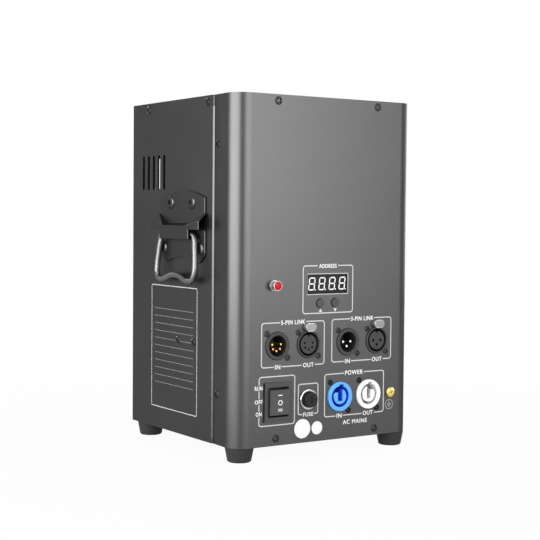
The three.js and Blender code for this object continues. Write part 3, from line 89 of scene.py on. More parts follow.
def combine(tree, operation, *values):
    """The outcome of one sum on the values, which are sockets or plain numbers."""
    node = tree.nodes.new("ShaderNodeMath")
    node.operation = operation
    for socket, value in zip(node.inputs, values):
        if isinstance(value, bpy.types.NodeSocket):
            tree.links.new(value, socket)
        else:
            socket.default_value = value
    return node.outputs[0]


def seen_directly(tree):
    """1 where the camera looks, or looks through glass, a little less in a reflection, else 0."""
    path = tree.nodes.new("ShaderNodeLightPath")
    looked_at = combine(tree, "MAXIMUM", path.outputs["Is Camera Ray"], path.outputs["Is Transmission Ray"])
    reflected = combine(tree, "MULTIPLY", path.outputs["Is Glossy Ray"], backdrop_in_reflections)
    return combine(tree, "MAXIMUM", looked_at, reflected)


def choose(tree, share, plain, shown, output):
    """Puts the shown shader in place of the plain one, by that share."""
    choice = tree.nodes.new("ShaderNodeMixShader")
    tree.links.new(share, choice.inputs["Fac"])
    tree.links.new(plain.outputs[0], choice.inputs[1])
    tree.links.new(shown.outputs[0], choice.inputs[2])
    tree.links.new(choice.outputs[0], tree.nodes.new(output).inputs["Surface"])


world = bpy.data.worlds.new("studio")
bpy.context.scene.world = world
world.use_nodes = True
tree = world.node_tree
tree.nodes.clear()
room = tree.nodes.new("ShaderNodeBackground")
room.inputs["Color"].default_value = white
room.inputs["Strength"].default_value = room_light
backdrop = tree.nodes.new("ShaderNodeBackground")
backdrop.inputs["Color"].default_value = white
choose(tree, seen_directly(tree), room, backdrop, "ShaderNodeOutputWorld")

floor_material = bpy.data.materials.new("pale_floor")
floor_material.use_nodes = True
tree = floor_material.node_tree
tree.nodes.clear()
paint = tree.nodes.new("ShaderNodeBsdfDiffuse")
paint.inputs["Color"].default_value = floor_grey
glow = tree.nodes.new("ShaderNodeEmission")
spot = tree.nodes.new("ShaderNodeTexCoord")
away = tree.nodes.new("ShaderNodeVectorMath")
away.operation = "LENGTH"
tree.links.new(spot.outputs["Object"], away.inputs[0])
fade = tree.nodes.new("ShaderNodeMapRange")
fade.inputs["From Min"].default_value = fade_from
fade.inputs["From Max"].default_value = fade_to
fade.inputs["To Min"].default_value = whiteness_near
fade.inputs["To Max"].default_value = whiteness_far
tree.links.new(away.outputs["Value"], fade.inputs["Value"])
share = combine(tree, "MULTIPLY", seen_directly(tree), fade.outputs["Result"])
choose(tree, share, paint, glow, "ShaderNodeOutputMaterial")

bpy.ops.mesh.primitive_plane_add(size=floor_size, location=(0, 0, 0))
floor = bpy.context.object
floor.name = "floor"
floor.data.materials.append(floor_material)


def softbox(name, azimuth, distance, height, size, power):
    """A lamp turned to the machine, so many degrees round it from the front, clockwise from above."""
    lamp = bpy.data.lights.new(name, "AREA")
    lamp.shape = "RECTANGLE"
    lamp.size, lamp.size_y = size
    lamp.energy = power
    stand = bpy.data.objects.new(name, lamp)
    turn = radians(azimuth)
    stand.location = (-sin(turn) * distance, -cos(turn) * distance, height)
    aim = machine_middle - stand.location
    stand.rotation_euler = aim.to_track_quat("-Z", "Y").to_euler()
    bpy.context.scene.collection.objects.link(stand)


softbox("left_box", azimuth=81.5, distance=1.2, height=0.25, size=(1.54, 0.8), power=35)
softbox("right_box", azimuth=-16, distance=1.6, height=0.38, size=(1.1, 0.86), power=18)
softbox("strip_box", azimuth=8.5, distance=1.6, height=0.38, size=(0.3, 0.86), power=5.7)
softbox("overhead_box", azimuth=30, distance=0.9, height=1.5, size=(1.2, 1.2), power=9)
softbox("rear_box", azimuth=192, distance=1.5, height=0.6, size=(1.3, 1.0), power=24)
softbox("far_box", azimuth=255, distance=1.5, height=0.5, size=(1.1, 0.9), power=20)


# The case: folded sheet steel in a dark grey powder coat, with a fine satin grain.
# One sheet wraps the front and both its corners; flat sheets close the sides, the base and the top.
# Lengths are in millimetres from here on, and become metres where a mesh or a place is set.
millimetre = 0.001
case_width = 178
case_depth = 174
foot_height = 12
case_top = 293
side_wall = case_width / 2
front_wall = -case_depth / 2
patches_in_a_metre = 14
patch_detail = 4
grain_detail = 3
sheen_spread = 0.05
least_roughness = 0.02
weld_distance = 0.002
flat_angle = 0.4


def colour(text):
    """Linear colour of a paint written as red, green and blue in hexadecimal."""
    channels = [int(text[i:i + 2], 16) / 255 for i in (1, 3, 5)]
    return [c / 12.92 if c <= 0.04045 else ((c + 0.055) / 1.055) ** 2.4 for c in channels] + [1]


def noise(tree, spot, scale, detail):
    """The strength of a noise over the solid, with about that many cells in a metre."""
    node = tree.nodes.new("ShaderNodeTexNoise")
    node.inputs["Scale"].default_value = scale
    node.inputs["Detail"].default_value = detail
    tree.links.new(spot.outputs["Object"], node.inputs["Vector"])
    return node.outputs["Fac"]


def finish(name, tint, roughness, metallic=0.0, grain=900, depth=0.02, mottle=0.06, **others):
    """A finish whose tone, roughness and fine grain vary over the surface.
    depth is the grain's height in tenths of a millimetre."""
    material = bpy.data.materials.new(name)
    material.use_nodes = True
    tree = material.node_tree
    shader = tree.nodes["Principled BSDF"]
    shader.inputs["Metallic"].default_value = metallic
    for socket, value in others.items():
        shader.inputs[socket.replace("_", " ")].default_value = value
    spot = tree.nodes.new("ShaderNodeTexCoord")
    fine = noise(tree, spot, grain, grain_detail)
    broad = noise(tree, spot, patches_in_a_metre, patch_detail)
    tone = tree.nodes.new("ShaderNodeMix")
    tone.data_type = "RGBA"
    base = colour(tint)[:3]
    tone.inputs["A"].default_value = [c * (1 - mottle) for c in base] + [1]
    tone.inputs["B"].default_value = [min(c * (1 + mottle), 1) for c in base] + [1]
    half = combine(tree, "MULTIPLY", broad, 0.5)
    both = combine(tree, "MULTIPLY_ADD", fine, 0.5, half)
    tree.links.new(both, tone.inputs["Factor"])
    tree.links.new(tone.outputs["Result"], shader.inputs["Base Color"])
    sheen = tree.nodes.new("ShaderNodeMapRange")
    sheen.inputs["To Min"].default_value = max(roughness - sheen_spread, least_roughness)
    sheen.inputs["To Max"].default_value = roughness + sheen_spread
    tree.links.new(broad, sheen.inputs["Value"])
    tree.links.new(sheen.outputs["Result"], shader.inputs["Roughness"])
    bump = tree.nodes.new("ShaderNodeBump")
    bump.inputs["Strength"].default_value = 1
    bump.inputs["Distance"].default_value = depth * millimetre / 10
    tree.links.new(fine, bump.inputs["Height"])
    tree.links.new(bump.outputs["Normal"], shader.inputs["Normal"])
    return material


def dress(node, *materials, edge=0.3, segments=2, sharp=32, clamp=True):
    """Gives a solid its finish, and rounds its edges as a press, a mould or a lathe leaves them.
    A clamped edge gets narrower where the faces beside it leave too little room."""
    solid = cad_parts[node]
    solid.data.materials.clear()
    for material in materials:
        solid.data.materials.append(material)
    solid.data.polygons.foreach_set("use_smooth", [True] * len(solid.data.polygons))
    weld = solid.modifiers.new("weld", "WELD")
    weld.merge_threshold = weld_distance * millimetre
    flats = solid.modifiers.new("flats", "DECIMATE")
    flats.decimate_type = "DISSOLVE"
    flats.angle_limit = radians(flat_angle)
    flats.delimit = {"MATERIAL"}
    rounding = solid.modifiers.new("rounding", "BEVEL")
    rounding.width = edge * millimetre
    rounding.segments = segments
    rounding.limit_method = "ANGLE"
    rounding.angle_limit = radians(sharp)
    rounding.use_clamp_overlap = clamp
    shading = solid.modifiers.new("shading", "WEIGHTED_NORMAL")
    shading.mode = "FACE_AREA"
    shading.weight = 100


powder_coat = finish("powder_coat", "#4b4b4b", 0.36, 0.95, depth=0.08, mottle=0.14,
                     Specular_Tint=(0.4, 0.4, 0.4, 1))
for sheet in ("front_cover", "left_side_panel", "right_side_panel", "base_pan", "top_cover"):
    dress(sheet, powder_coat, edge=0.4)


# Each side sheet ends in a lip folded towards the cover, beside the seam, of the same coated steel.
# It leans well in along the middle, where the light catches it, and lies nearly flat at both ends.
lip_fold = front_wall + 36
return_inset = 0.85
crease_angle = 35
leaning = [(side_wall, lip_fold), (side_wall - return_inset, lip_fold - 1.5), (side_wall - 1.1, lip_fold)]
flatter = [(side_wall - 0.15, lip_fold), (side_wall - 0.6, lip_fold - 1.9),
           (side_wall - 1.05, lip_fold - 1.9), (side_wall - 1.05, lip_fold)]
lip_lengths = [
    (flatter, foot_height + 0.1, foot_height + 3.9),
    (leaning, foot_height + 4, case_top - 9),
    (flatter, case_top - 8.9, case_top - 0.3),
]


def mesh_from(name, shape, smooth=True):
    """A mesh from a bmesh in millimetres, its faces turned outward."""
    bmesh.ops.recalc_face_normals(shape, faces=shape.faces)
    bmesh.ops.scale(shape, vec=(millimetre,) * 3, verts=shape.verts)
    mesh = bpy.data.meshes.new(name)
    shape.to_mesh(mesh)
    shape.free()
    mesh.polygons.foreach_set("use_smooth", [smooth] * len(mesh.polygons))
    mesh.set_sharp_from_angle(angle=radians(crease_angle))
    return mesh


def join_rings(shape, rings):
    """Closes the band between each ring of points and the next."""
    for low, high in zip(rings, rings[1:]):
        for i, point in enumerate(low):
            j = (i + 1) % len(low)
            shape.faces.new((point, low[j], high[j], high[i]))


def lengths(name, pieces):
    """One mesh of straight lengths, each an outline with its lower and its upper end."""
    shape = bmesh.new()
    for outline, low, high in pieces:
        ends = [[shape.verts.new((x, y, z)) for x, y in outline] for z in (low, high)]
        join_rings(shape, ends)
        for end in ends:
            shape.faces.new(end)
    return mesh_from(name, shape, smooth=False)


for name, side in (("left_seam_lip", -1), ("right_seam_lip", 1)):
    pieces = [([(x * side, y) for x, y in outline], low, high) for outline, low, high in lip_lengths]
    lip = bpy.data.objects.new(name, lengths("seam_lip", pieces))
    lip.data.materials.append(powder_coat)
    bpy.context.scene.collection.objects.link(lip)
    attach(lip, "case")


# The feet: four of moulded rubber, tapered down to the floor and rounded over at the bottom.
# A screw set deep in the middle of each one holds it to the base.
rubber = finish("foot_rubber", "#1b1b1c", 0.72, grain=700, depth=0.3, Specular_IOR_Level=0.35)
for foot in ("front_left_foot", "front_right_foot", "rear_left_foot", "rear_right_foot"):
    dress(foot, rubber, edge=0.5, segments=3)


# The case's screws: pressed steel heads with a cross recess, blackened, and a little lighter in front.
# They hold the sheets to each other's flanges, and the ignition module and the power supply to the sides.
shank_start = -0.4
crown_angles = (20, 42)
flat_share = 0.7
recess_taper = 0.6
recess_share = 0.45
recess_past_foot = 0.1
turn_between_screws = 0.7
walls = {
    "front": ((1, 0, 0), (0, 0, 1), (0, front_wall, 0)),
    "left": ((0, -1, 0), (0, 0, 1), (-side_wall, 0, 0)),
    "right": ((0, 1, 0), (0, 0, 1), (side_wall, 0, 0)),
    "back": ((-1, 0, 0), (0, 0, 1), (0, -front_wall, 0)),
    "top": ((1, 0, 0), (0, 1, 0), (0, 0, case_top)),
}


def mount(name, mesh, wall, place, out, material, body="case", turn=0.0):
    """Sets a mesh made with Z outward on a wall, at a place across and up it and so far out."""
    right, rise, middle = (Vector(part) for part in walls[wall])
    outward = right.cross(rise)
    spot = (middle + right * place[0] + rise * place[1] + outward * out) * millimetre
    axes = Matrix((right, rise, outward)).transposed().to_4x4()
    piece = bpy.data.objects.new(name, mesh)
    piece.matrix_world = Matrix.Translation(spot) @ axes @ Matrix.Rotation(turn, 4, "Z")
    bpy.context.scene.collection.objects.link(piece)
    if not mesh.materials:
        mesh.materials.append(material)
    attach(piece, body)


def ring_of(shape, radius, height, sides=24):
    """A ring of points at that height."""
    angles = [tau * i / sides for i in range(sides)]
    return [shape.verts.new((radius * cos(a), radius * sin(a), height)) for a in angles]


def cross_outline(reach, arm):
    """The outline of a cross recess, from its middle to the ends and to the sides of its arms."""
    quarter = [(reach, arm), (arm, arm), (arm, reach)]
    points = []
    for k in range(4):
        c, s = round(cos(k * pi / 2)), round(sin(k * pi / 2))
        points += [(x * c - y * s, x * s + y * c) for x, y in quarter]
    return points


def screw_mesh(name, radius, height, dome, reach=0.62, arm=0.13):
    """A screw head: a rim, a crown of that dome, and a recess; the shank's start closes it below.
    reach and arm are the recess's size as shares of the head's radius."""
    shape = bmesh.new()
    foot = ring_of(shape, radius, shank_start)
    rim = ring_of(shape, radius, height - dome)
    crown = [
        ring_of(shape, radius * cos(radians(a)), height - dome + dome * sin(radians(a)))
        for a in crown_angles
    ]
    flat = ring_of(shape, radius * flat_share, height)
    join_rings(shape, [foot, rim, *crown, flat])
    shape.faces.new(list(reversed(foot)))
    outline = cross_outline(radius * reach, radius * arm)
    depth = min(height + recess_past_foot, radius * recess_share)
    upper = [shape.verts.new((x, y, height)) for x, y in outline]
    lower = [shape.verts.new((x * recess_taper, y * recess_taper, height - depth)) for x, y in outline]
    head_faces = set(shape.faces)
    join_rings(shape, [lower, upper])
    shape.faces.new(lower)
    # The recess's faces take the second material, a near-black painted shade.
    for face in set(shape.faces) - head_faces:
        face.material_index = 1
    pairs = [(ring[i], ring[(i + 1) % len(ring)]) for ring in (flat, upper) for i in range(len(ring))]
    bmesh.ops.triangle_fill(shape, use_beauty=True, edges=[shape.edges.get(pair) for pair in pairs])
    return mesh_from(name, shape)


def screws(name, mesh, wall, places, material, out=0.0, body="case"):
    """Sets one screw at each place, with its recess turned a little differently every time."""
    if not mesh.materials:
        mesh.materials.append(material)
        mesh.materials.append(recess_shade)
    for count, place in enumerate(places, 1):
        mount(f"{name}_{count}", mesh, wall, place, out, material, body, count * turn_between_screws)


dark_steel = finish("blackened_screw_steel", "#1a1a1b", 0.3, 0.6, Specular_IOR_Level=0.3)
grey_steel = finish("grey_screw_steel", "#323233", 0.34, 0.8, Specular_IOR_Level=0.4)
# Painted shade: the near-black that fills each cross recess.
recess_shade = finish("recess_shade", "#0c0c0d", 0.6, Specular_IOR_Level=0.1)
cover_screw = screw_mesh("cover_screw", 3.4, 0.7, 0.5)
front_screw = screw_mesh("front_screw", 3.4, 0.7, 0.5, reach=0.7, arm=0.2)
cover_screw_reach = 50
upper_row, lower_row = 287.9, 17.8
screws("front_cover_screw", front_screw, "front",
       [(across, up) for up in (upper_row, lower_row) for across in (-cover_screw_reach, cover_screw_reach)],
       grey_steel)
for edge, places, out in (
    ("top", [(-57.9, 287.4), (42.4, 287.7)], 0),
    ("return", [(57.6, 253.3), (57.6, 52.5)], -return_inset),
):
    for wall, side in (("left", 1), ("right", -1)):
        mirrored = [(across * side, up) for across, up in places]
        screws(f"{wall}_{edge}_screw", cover_screw, wall, mirrored, dark_steel, out)
module_row, supply_row = 91.2, 110
screws("module_screw", cover_screw, "left", [(-4.6, module_row), (21.5, module_row)], dark_steel)
screws("supply_screw", cover_screw, "right", [(-30, supply_row), (30, supply_row)], dark_steel)


# Carrying handles: a pressed steel plate with a raised channel, held by four dome screws,
# and a bail bent from one steel wire, whose ends meet inside the channel.
plate_thickness = 1.5
handle_upper_row, handle_lower_row = 207, 169
upper_reaches, lower_reaches = (-18.6, 16.6), (-30.5, 30.5)
handle_steel = finish("handle_steel", "#484849", 0.34, 0.95, grain=1300, depth=0.05,
                      Specular_Tint=(0.4, 0.4, 0.4, 1))
bail_steel = finish("bail_steel", "#6a6a6b", 0.38, 1.0, grain=800, depth=0.0, mottle=0.03,
                    Specular_Tint=(0.6, 0.6, 0.6, 1))
dome_screw = screw_mesh("dome_screw", 5.6, 1.6, 1.4, reach=0.42)
for wall, middle in (("left", 3.5), ("right", -3.5)):
    dress(f"{wall}_handle_plate", handle_steel, edge=0.5, segments=3, clamp=False)
    dress(f"{wall}_handle_bail", bail_steel, edge=0.2, sharp=60)
    places = [(middle + reach, handle_upper_row) for reach in upper_reaches]
    places += [(middle + reach, handle_lower_row) for reach in lower_reaches]
    screws(f"{wall}_handle_screw", dome_screw, wall, places, handle_steel,
           out=plate_thickness)


# Indicator lamp: a bezel turned in one with its barrel, plated in satin nickel, and pushed
# through the cover. A red moulded lens fills the bezel's head.
satin_nickel = finish("satin_nickel", "#b4b2af", 0.4, 1.0, grain=600, mottle=0.03)
red_lens = finish("red_lens", "#a30c17", 0.3, depth=0.0, mottle=0.1, Specular_IOR_Level=0.12,
                  Emission_Color=colour("#ff3a1c"), Emission_Strength=0.06)
dress("indicator_bezel", satin_nickel, segments=3)
dress("indicator_lens", red_lens, edge=0.15)


# Display: a black module with four lit digits behind a window in the cover, on a green board.
# Two round moulded buttons come out through the cover below it, their faces painted paler than their black
# sides as painted light.
display_row = 141.35
display_sunk = 0.33
digit_places = (-15.7, -5.6, 4.6, 14.8)
digit_height, digit_width, bar_width, slant = 10.6, 6.4, 0.98, 0.12
gap_between_bars = 0.22
point_radius, point_sides = 0.62, 10
point_aside = bar_width * 1.25
half_digit_thickness = 0.05
black_plastic = finish("black_plastic", "#1d1d1e", 0.42, grain=1400, depth=0.12)
display_black = finish("display_black", "#0d0d0e", 0.25, grain=300, depth=0.0, Specular_IOR_Level=0.15)
board_green = finish("board_green", "#1f5a34", 0.5, grain=500, depth=0.1)
lit_segment = finish("lit_segment", "#d2d2d0", 0.4, grain=800, depth=0.01, mottle=0.02)
button_face_light = finish("button_face_light", "#343436", 0.45, grain=1400, depth=0.08, Specular_IOR_Level=0.3)


def repaint(node, chosen):
    """Gives the solid's second material to the faces whose middles, in millimetres, are chosen."""
    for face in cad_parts[node].data.polygons:
        if chosen(face.center / millimetre):
            face.material_index = 1


def ahead_of(plane):
    """Chooses what lies in front of a plane that stands across the machine."""
    return lambda spot: spot.y < plane


def front_of(node, depth):
    """Chooses what lies within that depth of the foremost point of a solid."""
    low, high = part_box(node)
    return ahead_of(low.y / millimetre + depth)


def plates(name, outlines, low, high):
    """One mesh of flat plates, each an outline given a thickness."""
    return lengths(name, [(outline, low, high) for outline in outlines])


def segments_of_eight():
    """The seven bars of a digit and its point, as outlines round the digit's middle."""
    half_bar = bar_width / 2
    top, right = digit_height / 2 - half_bar, digit_width / 2 - half_bar
    ends = [((-right, up), (right, up)) for up in (top, 0, -top)]
    ends += [((across, 0), (across, top)) for across in (-right, right)]
    ends += [((across, -top), (across, 0)) for across in (-right, right)]
    outlines = []
    for start, end in ends:
        along = (Vector(end) - Vector(start)).normalized()
        across = Vector((-along.y, along.x))
        a = Vector(start) + along * gap_between_bars
        c = Vector(end) - along * gap_between_bars
        points = [a, a + (along + across) * half_bar, c + (across - along) * half_bar, c,
                  c - (along + across) * half_bar, a + (along - across) * half_bar]
        outlines.append([(p.x + p.y * slant, p.y) for p in points])
    x, y = right + point_aside - top * slant, -top
    angles = [tau * i / point_sides for i in range(point_sides)]
    outlines.append([(x + point_radius * cos(a), y + point_radius * sin(a)) for a in angles])
    return outlines


dress("display_module", display_black)
dress("control_board", board_green)
# Painted light: each button's foremost faces take the paler grey, and the rest stays black.
for button in ("up_button", "down_button"):
    dress(button, black_plastic, button_face_light)
    repaint(button, front_of(button, 0.4))
digit = plates("digit", segments_of_eight(), -half_digit_thickness, half_digit_thickness)
for count, across in enumerate(digit_places, 1):
    mount(f"digit_{count}", digit, "front", (across, display_row), -display_sunk, lit_segment)


# Screen print: white ink on the coat, in rounded frames that break where a word stands in the line.
# It is pressed through a fine mesh, and stands about six hundredths of a millimetre high.
white_ink = finish("white_ink", "#b2b2b0", 0.5, grain=1500, mottle=0.05)
word_ink = finish("word_ink", "#d6d6d4", 0.5, grain=1500, mottle=0.05)
ink_height = 0.06
on_the_coat = 0.005
spread_across, spread_up = 0.07, 0.05
pass_height = 0.006
letter_spacing = 1.12
typed_size, typed_weld = 0.01, 0.000001
half_base, base_drop, tip_rise = 1.8, 1.3, 1.6
arc_steps = 6
touching = 0.01


def frame_path(left, right, low, high, radius):
    """Points round a rounded rectangle, with every corner in short steps."""
    corners = [(right - radius, low + radius, -90), (right - radius, high - radius, 0),
               (left + radius, high - radius, 90), (left + radius, low + radius, 180)]
    points = []
    for x, y, start in corners:
        angles = [radians(start + 90 / arc_steps * i) for i in range(arc_steps + 1)]
        points += [(x + radius * cos(a), y + radius * sin(a)) for a in angles]
    return points


def ribbon(points, width):
    """The outline of a line of that width along open points."""
    sides = [[], []]
    for i, point in enumerate(points):
        before = Vector(points[max(i - 1, 0)])
        after = Vector(points[min(i + 1, len(points) - 1)])
        along = (after - before).normalized()
        across = Vector((-along.y, along.x)) * width / 2
        for side, sign in zip(sides, (1, -1)):
            side.append(tuple(Vector(point) + across * sign))
    return sides[0] + sides[1][::-1]


def printed_frame(name, wall, extent, gaps=(), radius=2.2, width=0.85, ink=white_ink):
    """A frame printed on a wall, from its left, right, low and high line.
    Each gap is a side of it, and the stretch along that side that stays bare."""
    left, right, low, high = extent
    loop = frame_path(left, right, low, high, radius)
    loop.append(loop[0])
    lines = {"top": (1, high), "bottom": (1, low), "left": (0, left), "right": (0, right)}
    stretches, current = [], [loop[0]]
    for start, end in zip(loop, loop[1:]):
        along = 0 if abs(start[1] - end[1]) < touching else 1
        cuts = []
        for side, first, last in gaps:
            axis, line = lines[side]
            if abs(start[axis] - line) < touching and abs(end[axis] - line) < touching:
                cuts.append(sorted((first, last), reverse=start[along] > end[along]))
        for leave, back in sorted(cuts, key=lambda cut: abs(cut[0] - start[along])):
            broken = [(v, start[1]) if along == 0 else (start[0], v) for v in (leave, back)]
            stretches.append(current + broken[:1])
            current = broken[1:]
        current.append(end)
    if stretches:
        stretches[0] = current + stretches[0][1:]
    else:
        stretches.append(current)
    mesh = plates(name, [ribbon(points, width) for points in stretches], 0, ink_height)
    mount(name, mesh, wall, (0, 0), on_the_coat, ink)


def points_in(geometry):
    """The points alone, out of points, edges and faces."""
    return [part for part in geometry if isinstance(part, bmesh.types.BMVert)]


def lettering(name, words, place, height, width):
    """A word printed on the front with that height and width, its middle at the place.
    The ink goes on in five passes, a little apart, which thickens the strokes."""
    curve = bpy.data.curves.new(name, "FONT")
    curve.body = words
    curve.size = typed_size
    curve.space_character = letter_spacing
    curve.resolution_u = 3
    text = bpy.data.objects.new(name, curve)
    bpy.context.scene.collection.objects.link(text)
    bpy.context.view_layer.update()
    flat = bpy.data.meshes.new_from_object(text.evaluated_get(bpy.context.evaluated_depsgraph_get()))
    bpy.data.objects.remove(text)
    shape = bmesh.new()
    shape.from_mesh(flat)
    bmesh.ops.remove_doubles(shape, verts=shape.verts, dist=typed_weld)
    low = [min(point.co[k] for point in shape.verts) for k in (0, 1)]
    high = [max(point.co[k] for point in shape.verts) for k in (0, 1)]
    for point in shape.verts:
        point.co.x = (point.co.x - (low[0] + high[0]) / 2) * width / (high[0] - low[0])
        point.co.y = (point.co.y - (low[1] + high[1]) / 2) * height / (high[1] - low[1])
        point.co.z = 0
    first = shape.verts[:] + shape.edges[:] + shape.faces[:]
    for count, (right, rise) in enumerate(((-1, -1), (-1, 1), (1, -1), (1, 1)), 1):
        layer = bmesh.ops.duplicate(shape, geom=first)["geom"]
        shift = (right * spread_across, rise * spread_up, count * pass_height)
        bmesh.ops.translate(shape, verts=points_in(layer), vec=shift)
    raised = bmesh.ops.extrude_face_region(shape, geom=shape.faces[:])["geom"]
    for point in points_in(raised):
        point.co.z += ink_height
    mesh = mesh_from(name, shape, smooth=False)
    mount(name, mesh, "front", place, on_the_coat, word_ink)


def control_print(name, extent, gaps, words, radius=2.2):
    """The frame round a control on the front, and the words that belong to it."""
    printed_frame(name, "front", extent, gaps, radius)
    for word_name, word, place, height, width in words:
        lettering(word_name, word, place, height, width)


control_print("display_frame", (-24.6, 25.6, 117.3, 156.1), [("top", -10.4, 10.4)],
              [("word_address", "ADDRESS", (0, 155.8), 3.2, 17.6)])
printed_frame("window_line", "front", (-20.4, 20.6, 132.7, 149.5), [("left", 133.4, 148.9)],
              radius=0.4, width=0.5)
for name, place, way in (("up_mark", (-7.1, 119.5), 1), ("down_mark", (7.7, 119.6), -1)):
    triangle = [(-half_base, -base_drop * way), (half_base, -base_drop * way), (0, tip_rise * way)]
    mount(name, plates(name, [triangle], 0, ink_height), "front", place, on_the_coat, white_ink)
control_print("five_pin_frame", (-64.3, -3.0, 75.5, 111.0),
              [("top", -46.6, -21.4), ("bottom", -52.6, -45.0), ("bottom", -25.3, -12.2)],
              [("word_five_pin", "5-PIN LINK", (-34.0, 110.9), 3.5, 23.4),
               ("word_five_pin_in", "IN", (-48.8, 75.4), 3.5, 5.0),
               ("word_five_pin_out", "OUT", (-18.7, 75.5), 3.5, 10.4)])
control_print("three_pin_frame", (4.8, 66.8, 76.3, 111.5),
              [("top", 23.6, 48.4), ("bottom", 17.2, 24.8), ("bottom", 45.4, 58.4)],
              [("word_three_pin", "3-PIN LINK", (36.0, 111.4), 3.5, 23.4),
               ("word_three_pin_in", "IN", (21.0, 76.3), 3.5, 5.0),
               ("word_three_pin_out", "OUT", (51.9, 76.4), 3.5, 10.4)])
control_print("power_frame", (-2.0, 59.5, 31.3, 66.4),
              [("top", 17.6, 38.4), ("bottom", 9.2, 16.8), ("bottom", 36.4, 49.6)],
              [("word_power", "POWER", (28.0, 66.6), 3.6, 18.4),
               ("word_power_in", "IN", (13.0, 31.3), 3.5, 5.0),
               ("word_power_out", "OUT", (43.0, 31.5), 3.5, 10.4),
               ("word_mains", "AC MAINS", (29.5, 25.4), 3.4, 25.0)])
control_print("switch_frame", (-66.3, -31.9, 28.7, 68.0),
              [("left", 56.9, 61.7), ("left", 46.0, 50.8), ("left", 36.2, 41.0)],
              [("word_run", "RUN", (-66.7, 59.3), 3.2, 7.2),
               ("word_off", "OFF", (-66.6, 48.4), 3.2, 7.2),
               ("word_on", "ON", (-66.5, 38.6), 3.2, 5.4)])
control_print("fuse_frame", (-28.3, -8.8, 35.2, 60.0), [("bottom", -24.2, -12.4)],
              [("word_fuse", "FUSE", (-18.3, 35.0), 3.2, 9.8)], radius=1.8)


# Labels: two blank rounds of paper stuck on under the fuse, with their rims pressed down.
# The left side has a printed outline in a duller ink instead, with faint ruled lines in it.
paper_thickness = 0.12
pressed_share, pressed_rise = 0.97, 0.01
rule_left, rule_right, first_rule = -45, 21.5, 116
rule_pitch, rule_count, rule_width = 6.4, 11, 0.4
paper = finish("label_paper", "#cecece", 0.55, grain=600, mottle=0.02)
panel_ink = finish("panel_ink", "#9c9c9b", 0.55, grain=1500)
faint_ink = finish("faint_ink", "#6c6c6b", 0.55, grain=1500)


def disc(name, radius, sides=32):
    """A round of paper, a hair thinner along its rim."""
    shape = bmesh.new()
    rings = [
        ring_of(shape, radius, 0, sides),
        ring_of(shape, radius, paper_thickness, sides),
        ring_of(shape, radius * pressed_share, paper_thickness + pressed_rise, sides),
    ]
    join_rings(shape, rings)
    shape.faces.new(rings[0])
    shape.faces.new(rings[2])
    return mesh_from(name, shape, smooth=False)


for name, radius, place in (("large_label", 7.9, (-24.1, 23.6)), ("small_label", 5.4, (-9.5, 23.1))):
    mount(name, disc(name, radius), "front", place, on_the_coat, paper)
printed_frame("side_panel_frame", "left", (-50.8, 27.5, 30.5, 136.0), radius=1.2, width=0.75,
              ink=panel_ink)
rows = [first_rule - rule_pitch * i for i in range(rule_count)]
rules = plates("side_panel_rules", [ribbon([(rule_left, up), (rule_right, up)], rule_width) for up in rows],
               0, ink_height)
mount("side_panel_rules", rules, "left", (0, 0), on_the_coat, faint_ink)


# Signal sockets: black shells behind the cover, each held by two screws. The inlets have pins,
# gold in the five-pin and bright in the three-pin. The outlets have a moulded core with sunk
# contacts, and a pressed metal tab that lets the plug go.
signal_row = 92.4
signal_hole = 9.95
contact_plane = front_wall + 15.4
gold = finish("gold_contact", "#cfa350", 0.3, 1.0, depth=0.01)
bright_contact = finish("bright_contact", "#d9d9d6", 0.15, 1.0, depth=0.01)
latch_nickel = finish("latch_nickel", "#7a7a79", 0.42, 1.0, depth=0.05)
# Painted highlight: a much brighter copy of the tab's nickel for its rim and sides.
latch_rim_highlight = finish("latch_rim_highlight", "#c4c4c2", 0.4, 1.0)
socket_face = finish("socket_face", "#303031", 0.45, grain=1000, depth=0.08, Specular_IOR_Level=0.22)
socket_screw = screw_mesh("socket_screw", 2.6, 0.9, 0.6)
for kind, inlet, outlet, contact in (
    ("five_pin", -49.2, -18.8, gold),
    ("three_pin", 21.1, 51.5, bright_contact),
):
    # Painted shade: each shell keeps black plastic behind its grey front faces, so the bore reads dark.
    dress(f"{kind}_inlet_shell", black_plastic, socket_face, edge=0.2)
    repaint(f"{kind}_inlet_shell", ahead_of(front_wall + 0.1))
    dress(f"{kind}_inlet_pins", black_plastic, contact, edge=0.5, segments=3)
    repaint(f"{kind}_inlet_pins", ahead_of(contact_plane))
    dress(f"{kind}_outlet_shell", black_plastic, socket_face, edge=0.2)
    repaint(f"{kind}_outlet_shell", ahead_of(front_wall + 0.1))
    dress(f"{kind}_outlet_core", socket_face, edge=0.2)
    # The tab's rim and sides get the painted highlight, and its face keeps the darker nickel.
    dress(f"{kind}_outlet_latch", latch_rim_highlight, latch_nickel, edge=0.9, segments=3)
    repaint(f"{kind}_outlet_latch", front_of(f"{kind}_outlet_latch", 0.1))
    for end, middle in (("inlet", inlet), ("outlet", outlet)):
        places = [(middle - signal_hole, signal_row + signal_hole),
                  (middle + signal_hole, signal_row - signal_hole)]
        screws(f"{kind}_{end}_screw", socket_screw, "front", places, grey_steel)


# Power sockets: twist-lock sockets moulded in blue for the inlet and white for the outlet.
# Two screws at opposite corners of the flange hold each one to the cover.
power_row = 47.4
hole_across, hole_up = 9.5, 12.2
groove_radius = 10.5
blue_plastic = finish("blue_plastic", "#4d92d4", 0.3, grain=700, depth=0.03, mottle=0.04)
# Painted shade: a deeper blue for the inside of the inlet's groove.
blue_groove_shade = finish("blue_groove_shade", "#2454dc", 0.3, grain=700, depth=0.03, mottle=0.04)
white_plastic = finish("white_plastic", "#d8d8d7", 0.32, grain=700, depth=0.03, mottle=0.03)
power_screw = screw_mesh("power_screw", 2.6, 0.9, 0.6)


def groove_shade_round(across):
    """Chooses what lies behind the face of a power socket and within its groove, for the groove's painted
    shade.
    """
    return lambda spot: (spot.y > front_wall + 0.1
                         and hypot(spot.x - across, spot.z - power_row) < groove_radius)
